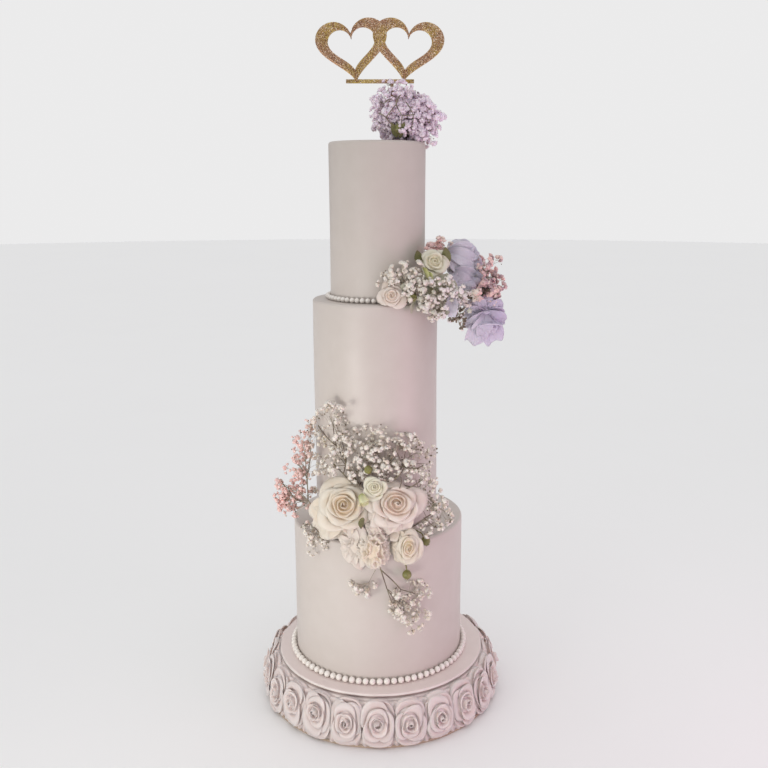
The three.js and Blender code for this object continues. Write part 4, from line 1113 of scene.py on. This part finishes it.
# A branch of a spray runs from its start to its fork, and from there to clusters: x, y, z and the reach.
paleLeft = dict(share=0.88, shades=(0.4, 1.0, 1.0))
darkStemmed = dict(share=0.88, shades=(0.1, 0.8, 1.0))
sprays = {
    "front": {
        "gypsophila_front_left": [
            dict(paleLeft, start=(-84, -100, 322), fork=(-112, -90, 368),
                 tips=[(-152, -62, 383, 10), (-134, -62, 380, 10), (-157, -60, 360, 9), (-145, -62, 355, 10),
                       (-126, -64, 359, 10), (-115, -66, 373, 9), (-154, -60, 371, 9), (-157, -60, 388, 6),
                       (-137, -66, 342, 7), (-159, -60, 349, 6)]),
            dict(paleLeft, start=(-112, -90, 368), fork=(-114, -78, 408),
                 tips=[(-112, -60, 485, 11), (-110, -60, 465, 10), (-119, -60, 463, 10), (-115, -60, 439, 11),
                       (-127, -62, 426, 12), (-110, -62, 418, 9), (-138, -62, 412, 9), (-115, -62, 396, 9)]),
            dict(start=(-84, -100, 322), fork=(-94, -118, 336),
                 tips=[(-104, -113, 309, 13), (-90, -124, 320, 9), (-108, -106, 330, 9)]),
        ],
        "gypsophila_front_upper": [
            dict(start=(-30, -102, 396), fork=(-50, -108, 432),
                 tips=[(-66, -100, 504, 16), (-53, -108, 488, 11), (-80, -92, 520, 8), (-78, -94, 458, 14),
                       (-74, -112, 428, 14), (-52, -116, 446, 15)]),
            dict(start=(-30, -102, 396), fork=(-16, -108, 424),
                 tips=[(-34, -114, 458, 15), (-14, -114, 466, 14), (4, -112, 470, 13), (2, -122, 442, 14),
                       (-30, -122, 436, 13), (18, -116, 452, 13), (-24, -130, 424, 9), (14, -130, 426, 9),
                       (-6, -134, 424, 7), (-36, -132, 428, 8), (-2, -132, 446, 8)]),
        ],
        "gypsophila_front_right": [
            dict(start=(24, -103, 404), fork=(38, -106, 430), share=0.62, budSize=1.2,
                 tips=[(26, -112, 462, 9), (24, -118, 434, 12), (46, -116, 430, 12), (44, -108, 462, 14),
                       (66, -102, 454, 14), (78, -96, 432, 12)]),
            dict(start=(24, -103, 404), fork=(62, -116, 398), share=0.7, budSize=1.2,
                 tips=[(71, -112, 408, 10), (58, -126, 418, 9), (88, -116, 378, 15), (98, -122, 356, 13),
                       (80, -136, 346, 11), (112, -110, 350, 10)]),
        ],
        "gypsophila_front_lower": [
            dict(darkStemmed, start=(2, -150, 286), fork=(14, -151, 246),
                 tips=[(30, -149, 230, 9), (44, -150, 210, 12), (62, -142, 206, 11), (50, -150, 190, 10),
                       (36, -150, 198, 8)]),
            dict(start=(2, -150, 286), fork=(-14, -151, 256), thick=0.45, shades=(0.6, 0.9, 1.0),
                 tips=[(-36, -149, 252, 7), (-26, -150, 246, 6), (-12, -150, 243, 6)]),
            dict(darkStemmed, start=(4, -151, 278), fork=(36, -148, 243),
                 tips=[(58, -144, 236, 11), (72, -135, 222, 7)]),
        ],
    },
    "side": {
        "gypsophila_side_left": [
            dict(start=(52, -82, 684), fork=(48, -88, 700),
                 tips=[(24, -90, 728, 8), (15, -90, 724, 8), (36, -94, 727, 10), (48, -90, 732, 9),
                       (59, -84, 728, 9), (31, -96, 719, 9), (45, -96, 717, 10), (57, -96, 715, 10),
                       (70, -90, 708, 10), (46, -98, 702, 8), (60, -98, 701, 10), (10, -90, 716, 6),
                       (73, -96, 693, 9)]),
            dict(start=(52, -82, 684), fork=(84, -84, 696),
                 tips=[(96, -86, 717, 8), (109, -84, 714, 8), (122, -82, 698, 8), (106, -88, 703, 8),
                       (83, -92, 680, 7), (98, -88, 684, 7), (101, -84, 668, 8), (89, -90, 668, 7),
                       (71, -94, 676, 6), (61, -96, 673, 6)]),
        ],
        "gypsophila_side_right": [
            dict(start=(92, -6, 684), fork=(138, 2, 712),
                 tips=[(162, -18, 744, 8), (171, -22, 739, 8), (181, -20, 732, 8), (187, -20, 721, 8),
                       (184, -24, 715, 7), (188, -22, 703, 7), (176, -24, 722, 8), (193, -18, 709, 8),
                       (191, -24, 696, 8), (186, -28, 684, 7), (168, -30, 708, 10), (180, -30, 714, 11),
                       (174, -36, 695, 10), (185, -34, 698, 10), (176, -30, 729, 11), (155, -58, 699, 8),
                       (151, -60, 709, 7), (162, -58, 706, 9), (147, -66, 690, 8), (161, -62, 691, 8),
                       (173, -52, 688, 9), (167, -52, 698, 9), (178, -44, 692, 9), (136, -72, 700, 7),
                       (134, -74, 684, 8), (138, -70, 674, 7)]),
            dict(start=(92, -6, 684), fork=(88, -34, 738), share=0.92, shades=(0.4, 0.9, 1.0),
                 tips=[(84, -36, 760, 7), (93, -36, 766, 7), (103, -34, 767, 7), (77, -32, 759, 6),
                       (74, -30, 752, 6), (84, -28, 752, 7), (95, -26, 757, 7), (112, -30, 764, 6)]),
            dict(start=(92, -6, 684), fork=(118, -58, 684), share=0.12, budSize=1.6,
                 tips=[(124, -64, 668, 8), (127, -62, 657, 8), (124, -60, 647, 7), (118, -64, 654, 5),
                       (88, -86, 661, 6)]),
        ],
    },
    "top": {"gypsophila_top": []},
}
# The bunch on the top tier: its tips wind down a ball by an even turn in radians and an even fall, the
# ball narrows below its middle and leans by the shear, and every third tip lies deeper, as levels say.
bunch = dict(growth, at=(43, -4, 960), half=(45, 42, 46), foot=(40, -8, 929), loose=(5, 5, 1), count=60,
             reach=13, shear=-0.3, turn=2.39996, fall=1.75, narrow=0.4, levels=(0.78, 0.78, 0.48),
             share=0.82, shades=(0.75, 1.0, 1.0), bloomSize=1.22)
# Double florets as large as small buttons: place and half width. One is three florets, each with its share
# of the size and its step forward, on a stem that starts back from it and lower.
doubleForm = {"layers": [(1.0, 0.0), (0.78, 0.22), (0.5, 0.42)], "back": 16, "lower": 6,
              "thick": (0.35, 0.3)}
doubles = {
    "front": [(-66, -114, 446, 3.6), (-20, -126, 452, 3.4), (30, -126, 440, 3.6), (56, -118, 430, 3.8),
              (88, -122, 372, 3.4)],
    "side": [(94, -96, 715, 5.0), (85, -101, 701, 4.8), (66, -104, 692, 4.8), (86, -99, 671, 5.0),
             (156, -68, 690, 4.6), (141, -78, 670, 4.6), (31, -97, 722, 3.8), (62, -100, 717, 3.8),
             (120, -88, 706, 3.8), (126, -86, 696, 4.0), (113, -90, 688, 3.8), (78, -100, 682, 3.8),
             (98, -94, 690, 3.8), (108, -92, 712, 3.6)],
    "top": [],
}
# Dark twigs in front of the florets, one in a row: x, y, z of its start, bend and end.
frontTwigThick = (1.0, 0.75)
frontTwigs = {
    "front": [
        (15, -140, 416, 36, -142, 423, 41, -132, 438), (33, -146, 406, 38, -150, 417, 36, -144, 425),
        (36, -144, 405, 52, -148, 408, 69, -134, 418), (11, -124, 435, 20, -132, 445, 27, -124, 459),
        (11, -124, 435, 27, -136, 438, 44, -128, 436), (44, -128, 436, 59, -128, 429, 71, -114, 435),
        (57, -142, 346, 71, -146, 359, 96, -130, 370), (37, -146, 340, 49, -150, 344, 57, -142, 346),
        (71, -140, 358, 84, -142, 345, 94, -126, 335), (-93, -96, 493, -79, -110, 475, -64, -112, 465),
        (-64, -112, 465, -67, -116, 481, -69, -108, 499), (-68, -124, 440, -53, -128, 425, -39, -124, 408),
        (-53, -126, 424, -48, -130, 437, -49, -122, 450), (-27, -134, 408, -34, -138, 421, -41, -128, 433),
        (-122, -112, 331, -107, -126, 347, -99, -130, 339), (-99, -130, 339, -92, -136, 333, -87, -130, 327),
        (-146, -66, 380, -141, -76, 364, -115, -84, 361), (-115, -84, 361, -111, -82, 376, -117, -68, 402),
        (-117, -68, 402, -125, -72, 419, -135, -62, 427), (-146, -66, 380, -154, -70, 384, -159, -60, 394),
    ],
    "side": [],
    "top": [
        (14, -66, 957, 21, -70, 967, 29, -68, 976), (29, -68, 976, 32, -71, 967, 38, -68, 960),
        (38, -68, 960, 37, -69, 953, 36, -62, 946), (14, -66, 957, 19, -66, 951, 23, -58, 946),
        (3, -56, 964, 9, -64, 962, 14, -66, 957), (29, -68, 976, 30, -68, 985, 36, -62, 990),
        (38, -68, 960, 47, -70, 959, 54, -66, 962), (44, -64, 979, 50, -70, 970, 54, -66, 962),
        (54, -66, 962, 55, -66, 952, 51, -58, 942), (12, -62, 979, 16, -68, 983, 22, -64, 984),
    ],
}
sprayFinishes = {"twigs": "twig", "florets": "floret", "buds": "calyx", "doubles": "double"}
spraySeed = 500
# What a head keeps clear: a share of its radius, and how far over its front.
headRoom = {"share": 0.86, "above": 14}


# Moves points out of the cake and of the flower heads: from a tier outwards or up, whichever is nearer,
# and from a head sideways out of its round front and the half ball behind.
def keptClear(points, margin):
    points = points.copy()
    for row in tierRows:
        flat = points[:, :2] - [row["shift"], 0]
        away = np.maximum(np.hypot(flat[:, 0], flat[:, 1]), 1e-6)
        deepSide, deepTop = row["radius"] + margin - away, row["top"] + margin - points[:, 2]
        inside = (deepSide > 0) & (deepTop > 0) & (points[:, 2] > row["floor"])
        outwards = inside & (deepSide <= deepTop)
        points[outwards, :2] += (flat / away[:, None] * deepSide[:, None])[outwards]
        upwards = inside & ~outwards
        points[upwards, 2] += deepTop[upwards]
    for head in flowers:
        aim, half = unit(np.array(head["face"])), 0.5 * head["depth"]
        apart = points - np.array(head["at"]) - aim * half
        along = apart @ aim
        sideways = apart - along[:, None] * aim
        away = np.maximum(np.linalg.norm(sideways, axis=1), 1e-6)
        dome = np.sqrt(np.clip(1 - np.minimum(along / half, 0) ** 2, 0, 1))
        wide = headRoom["share"] * head["radius"] * dome
        within = (along < half + headRoom["above"]) & (away < wide)
        points += np.where(within, wide / away - 1, 0)[:, None] * sideways
    return points


# A floret has five rows of ten corners: calyx, cup, outer lobes, inner lobes set between them, and a small
# tuft. A row is the radius of its even and odd corners, and their heights. Shapes are points, faces, along.
def floretShape():
    rows = np.array([[0.16, 0.16, -0.62, -0.62], [0.46, 0.40, -0.34, -0.34], [1.0, 0.66, 0.12, -0.04],
                     [0.52, 0.80, 0.34, 0.36], [0.46, 0.26, 0.66, 0.46]])
    shape, faces = turnedShape(np.tile(rows[:, :2], 5), np.tile(rows[:, 2:], 5), 10, -0.7, 0.44)
    return shape, faces, np.append(np.repeat(np.linspace(0, 1, 5), 10), [0, 0.8])


# A closed bud of three rows of six corners, widest in the middle.
def budShape():
    rows = np.array([[0.55, -0.75], [1.0, 0.05], [0.6, 0.85]])
    shape, faces = turnedShape(rows[:, :1], rows[:, 1:], 6, -1.1, 1.2)
    return shape, faces, np.append(np.repeat([0.2, 0.5, 0.8], 6), [0, 1])


# The tint of florets by their place: pink far out on the left and the right and over the green rose, lilac
# round the blooms and in the bunch on top. The lilac and the right end's dark mauve are partly painted stage
# light and painted shade.
def floretTint(places, rng):
    x, z = places[:, 0], places[:, 2]
    count = len(x)
    leftEnd = smoothStep(-x, 96, 122) * (z > 335) * (z < 520) * 0.95
    rightEnd = smoothStep(x, 138, 168) * (z > 600) * rng.uniform(0.8, 2.6, count)
    overRose = smoothStep(z, 748, 756) * (z < 820) * (x < 118) * rng.uniform(0.5, 1.6, count)
    lilacSide = smoothStep(x, 60, 120) * (z > 600) * rng.uniform(0, 0.5, count)
    lilacTop = smoothStep(z, 900, 930) * 0.85
    tint = leftEnd + rightEnd + overRose - lilacSide - lilacTop
    return np.clip(tint + rng.uniform(-0.12, 0.12, count), -1, 2)


# Copies of a floret or a bud, each turned about its own direction, with a tint and a shade of its own.
def addFlorets(pile, shapeRow, places, directions, sizes, rng):
    shape, faces, along = shapeRow
    points = scattered(shape, places, directions, rng.uniform(0, 6.28, len(places)), sizes)
    shade = rng.uniform(0, 1, (len(places), 1))
    addCopies(pile, points, faces, joined(floretTint(places, rng)[:, None], along, shade))


# One cluster: a branch from the fork to the tip, twigs that leave it on the way to points inside the
# cluster's reach, and at each twig's end a fan of pedicels that carry florets or buds.
def growCluster(piles, rng, fork, tip, reach, form):
    fork, tip = np.array(fork, float), np.array(tip, float)
    span = tip - fork
    middle = (fork + tip) / 2 + rng.normal(size=3) * 0.07 * np.linalg.norm(span)
    end, middle = keptClear(np.stack([fork + form["branchEnd"] * span, middle]), 2.0)
    stems, shades = piles["twigs"], form["shades"]
    addStems(stems, [fork], [middle], [end], form["branchThick"], sides=5, rows=6, shade=shades[0])
    count = max(3, round(form["twigs"] * reach))
    part = rng.uniform(0.3, 1.0, (count, 1)) ** 0.7
    bases = (1 - part) ** 2 * fork + 2 * part * (1 - part) * middle + part**2 * end
    centres = bases + (tip - end) + 0.35 * reach * unit(span)
    inBall = unit(rng.normal(size=(count, 3))) * rng.uniform(0.15, 1, (count, 1)) ** (1 / 2.2)
    ends = keptClear(centres + inBall * reach * form["spread"], 2.5)
    bends = (bases + ends) / 2 + rng.normal(size=(count, 3)) * 1.6
    addStems(stems, bases, bends, ends, form["twigThick"], shade=shades[1])
    fan = form["pedicels"]
    starts = np.repeat(ends, fan, 0)
    scatter = unit(rng.normal(size=starts.shape))
    directions = unit(0.9 * np.repeat(unit(ends - bases), fan, 0) + 0.9 * scatter)
    lengths = rng.uniform(*form["pedicelLength"], (len(starts), 1)) * min(reach, form["longestReach"])
    tips = keptClear(starts + directions * lengths, 3.0)
    aims = unit(tips - starts)
    bends = (starts + tips) / 2 + rng.normal(size=tips.shape) * 0.5
    addStems(stems, starts, bends, tips, form["pedicelThick"], shade=shades[2])
    opened = rng.uniform(size=len(tips)) < form["share"]
    low, high = form["floret"]
    sizes = form["bloomSize"] * (low + (high - low) * rng.uniform(0, 1, opened.sum()) ** 2)
    addFlorets(piles["florets"], floretShape(), tips[opened] + aims[opened] * 1.4, aims[opened], sizes, rng)
    sizes = form["budSize"] * rng.uniform(*form["bud"], (~opened).sum())
    addFlorets(piles["buds"], budShape(), tips[~opened] + aims[~opened] * 0.8, aims[~opened], sizes, rng)


# Points of a spiral on a ball: out as the root of 1 less the square of the height.
def bunchTips():
    number = np.arange(bunch["count"])
    rise = 1 - bunch["fall"] * (number + 0.5) / bunch["count"]
    flat = np.sqrt(np.clip(1 - rise**2, 0, 1)) * np.where(rise < 0, 1 + bunch["narrow"] * rise, 1)
    level = np.array(bunch["levels"])[number % 3][:, None]
    away = around(flat, (number + 0.5) * bunch["turn"], rise) * level * np.array(bunch["half"])
    away[:, 0] += bunch["shear"] * away[:, 2]
    return np.array(bunch["at"]) + away


# A double floret: three florets inside one another that look forward, a little up and to the right.
def addDouble(piles, rng, x, y, z, size):
    spot = keptClear(np.array([[x, y, z]], float), 2.0)
    aim = unit(rng.normal(size=(1, 3)) * 0.3 + [0.1, -1, 0.25])
    for share, out in doubleForm["layers"]:
        places, sizes = spot + aim * out * size, np.array([share * size])
        addFlorets(piles["doubles"], floretShape(), places, aim, sizes, rng)
    back = doubleForm["back"] * aim
    foot = spot - back - [0, 0, doubleForm["lower"]]
    addStems(piles["twigs"], foot, spot - back / 2, spot, doubleForm["thick"])


# The sprays of one place on the cake: stems to their forks, clusters, front twigs and double florets.
def makeSprays(place, rows, seed):
    rng = np.random.default_rng(seed)
    piles = {kind: newPile() for kind in sprayFinishes}
    for branch in [row for branches in rows.values() for row in branches]:
        form = {**growth, **branch}
        start, fork = np.array(form["start"], float), np.array(form["fork"], float)
        bend = keptClear(((start + fork) / 2 + rng.normal(size=3) * 2)[None], 2.0)
        thick = form["thick"] * np.array(form["stemThick"])
        shade = form["shades"][0] - form["stemDarker"]
        addStems(piles["twigs"], [start], bend, [fork], thick, sides=6, rows=7, shade=shade)
        for tip in form["tips"]:
            growCluster(piles, rng, fork, tip[:3], tip[3], form)
    if place == "top":
        for tip in bunchTips():
            foot = np.array(bunch["foot"]) + rng.normal(size=3) * bunch["loose"]
            growCluster(piles, rng, foot, tip, bunch["reach"], bunch)
    if frontTwigs[place]:
        starts, bends, ends = np.array(frontTwigs[place], float).reshape(-1, 3, 3).transpose(1, 0, 2)
        addStems(piles["twigs"], starts, bends, ends, frontTwigThick, sides=6, rows=6, shade=0.0)
    for row in doubles[place]:
        addDouble(piles, rng, *row)
    for kind, finish in sprayFinishes.items():
        if piles[kind]["count"]:
            makePiece(f"gypsophila_{place}_{kind}", piles[kind], finish, "gypsophila", *rows)


for number, (placeName, sprayRows) in enumerate(sprays.items()):
    makeSprays(placeName, sprayRows, spraySeed + number)
print("gypsophila is made")

# The topper: two open hearts on a bar and a stake. A row of hearts is centre, tilt and step to the back.
topper = {"thick": 3, "foot": 1013, "halfWidth": 55, "height": 93, "stroke": 0.66, "bar": 6, "barPast": 10,
          "barThinner": 0.9, "corner": 0.5, "steps": 180, "flakes": 2600, "flakeSize": (0.45, 0.85),
          "seed": 77, "hearts": [(-39, -0.12, -0.3), (46, 0.12, 0.3)]}
stake = {"x": 22, "width": 5, "depth": 70, "overlap": 2, "thinner": 1.3}


# A heart's outline: x is the cube of the sine, z a sum of four cosines, as one closed loop. The sum runs
# from -17 to about 12, so 29 steps are the heart's height.
def heartLoop(turn, scale):
    z = 13 * np.cos(turn) - 5 * np.cos(2 * turn) - 2 * np.cos(3 * turn) - np.cos(4 * turn)
    return joined(-topper["halfWidth"] * scale * np.sin(turn) ** 3, 0, z * topper["height"] * scale / 29)


def heartPlace(points, centre, tilt, forward):
    cosine, sine = math.cos(tilt), math.sin(tilt)
    turn = np.array([[cosine, 0, sine], [0, 1, 0], [-sine, 0, cosine]])
    return points @ turn.T + [centre, forward, topper["foot"] + topper["height"] * 17 / 29]


# An open heart: a flat section with softened corners, carried between the inner and the outer outline.
def addHeart(pile, heart):
    turn = turns(topper["steps"])
    inner, outer = heartLoop(turn, topper["stroke"])[:, None], heartLoop(turn, 1.0)[:, None]
    share = np.array([0.0, 0.03, 0.97, 1.0, 1.0, 0.97, 0.03, 0.0])
    deep = np.array([0.8, 1.0, 1.0, 0.8, -0.8, -1.0, -1.0, -0.8]) * topper["thick"] / 2
    points = inner + (outer - inner) * share[:, None] + joined(0, -deep, 0)
    points = heartPlace(points.reshape(-1, 3), *heart)
    addCopies(pile, points[None], ringFaces(topper["steps"], len(share)), middleLook)


# A flat bar with softened corners between two points of the plane y = 0.
def addBar(pile, left, foot, right, top, thick):
    corner = topper["corner"]
    xs = np.array([left + corner, right - corner, right, right, right - corner, left + corner, left, left])
    zs = np.array([foot, foot, foot + corner, top - corner, top, top, top - corner, foot + corner])
    back, front = joined(xs, thick / 2, zs), joined(xs, -thick / 2, zs)
    points = np.concatenate([back, front, [back.mean(0), front.mean(0)]])
    addCopies(pile, points[None], sleeveFaces(2, len(xs)), middleLook)


# Loose flakes of glitter on both faces of a heart: five-sided, a little domed, each with its own tilt.
def addFlakes(pile, rng, heart):
    count = topper["flakes"]
    turn = rng.uniform(0, 2 * np.pi, count)
    share = rng.uniform(0.04, 0.96, (count, 1))
    face = np.where(rng.uniform(size=count) < 0.65, -1.0, 1.0)
    spots = heartLoop(turn, topper["stroke"]) * (1 - share) + heartLoop(turn, 1.0) * share
    spots[:, 1] = face * (topper["thick"] / 2 + 0.12)
    plate, faces = turnedShape(np.ones((1, 1)), 0.0, 5, -0.25, 0.25)
    aims = joined(0, face, 0) + rng.normal(size=(count, 3)) * 0.32
    spins, sizes = rng.uniform(0, 6.28, count), rng.uniform(*topper["flakeSize"], count)
    points = scattered(plate, heartPlace(spots, *heart), aims, spins, sizes)
    addCopies(pile, points, faces, joined(0, 0, rng.uniform(0, 1, (count, 1))))


def makeTopper():
    cardPile, flakePile = newPile(), newPile()
    rng = np.random.default_rng(topper["seed"])
    for heart in topper["hearts"]:
        addHeart(cardPile, heart)
        addFlakes(flakePile, rng, heart)
    left, right = (heart[0] for heart in topper["hearts"])
    foot, past, half = topper["foot"], topper["barPast"], stake["width"] / 2
    addBar(cardPile, left - past, foot, right + past, foot + topper["bar"],
           topper["thick"] - topper["barThinner"])
    addBar(cardPile, stake["x"] - half, tierRows[-1]["top"] - stake["depth"], stake["x"] + half,
           foot + stake["overlap"], topper["thick"] - stake["thinner"])
    makePiece("topper_card", cardPile, "glitter", "glitter", "topper_hearts")
    makePiece("topper_flakes", flakePile, "flakes", "glitter")


makeTopper()
print("topper is made")
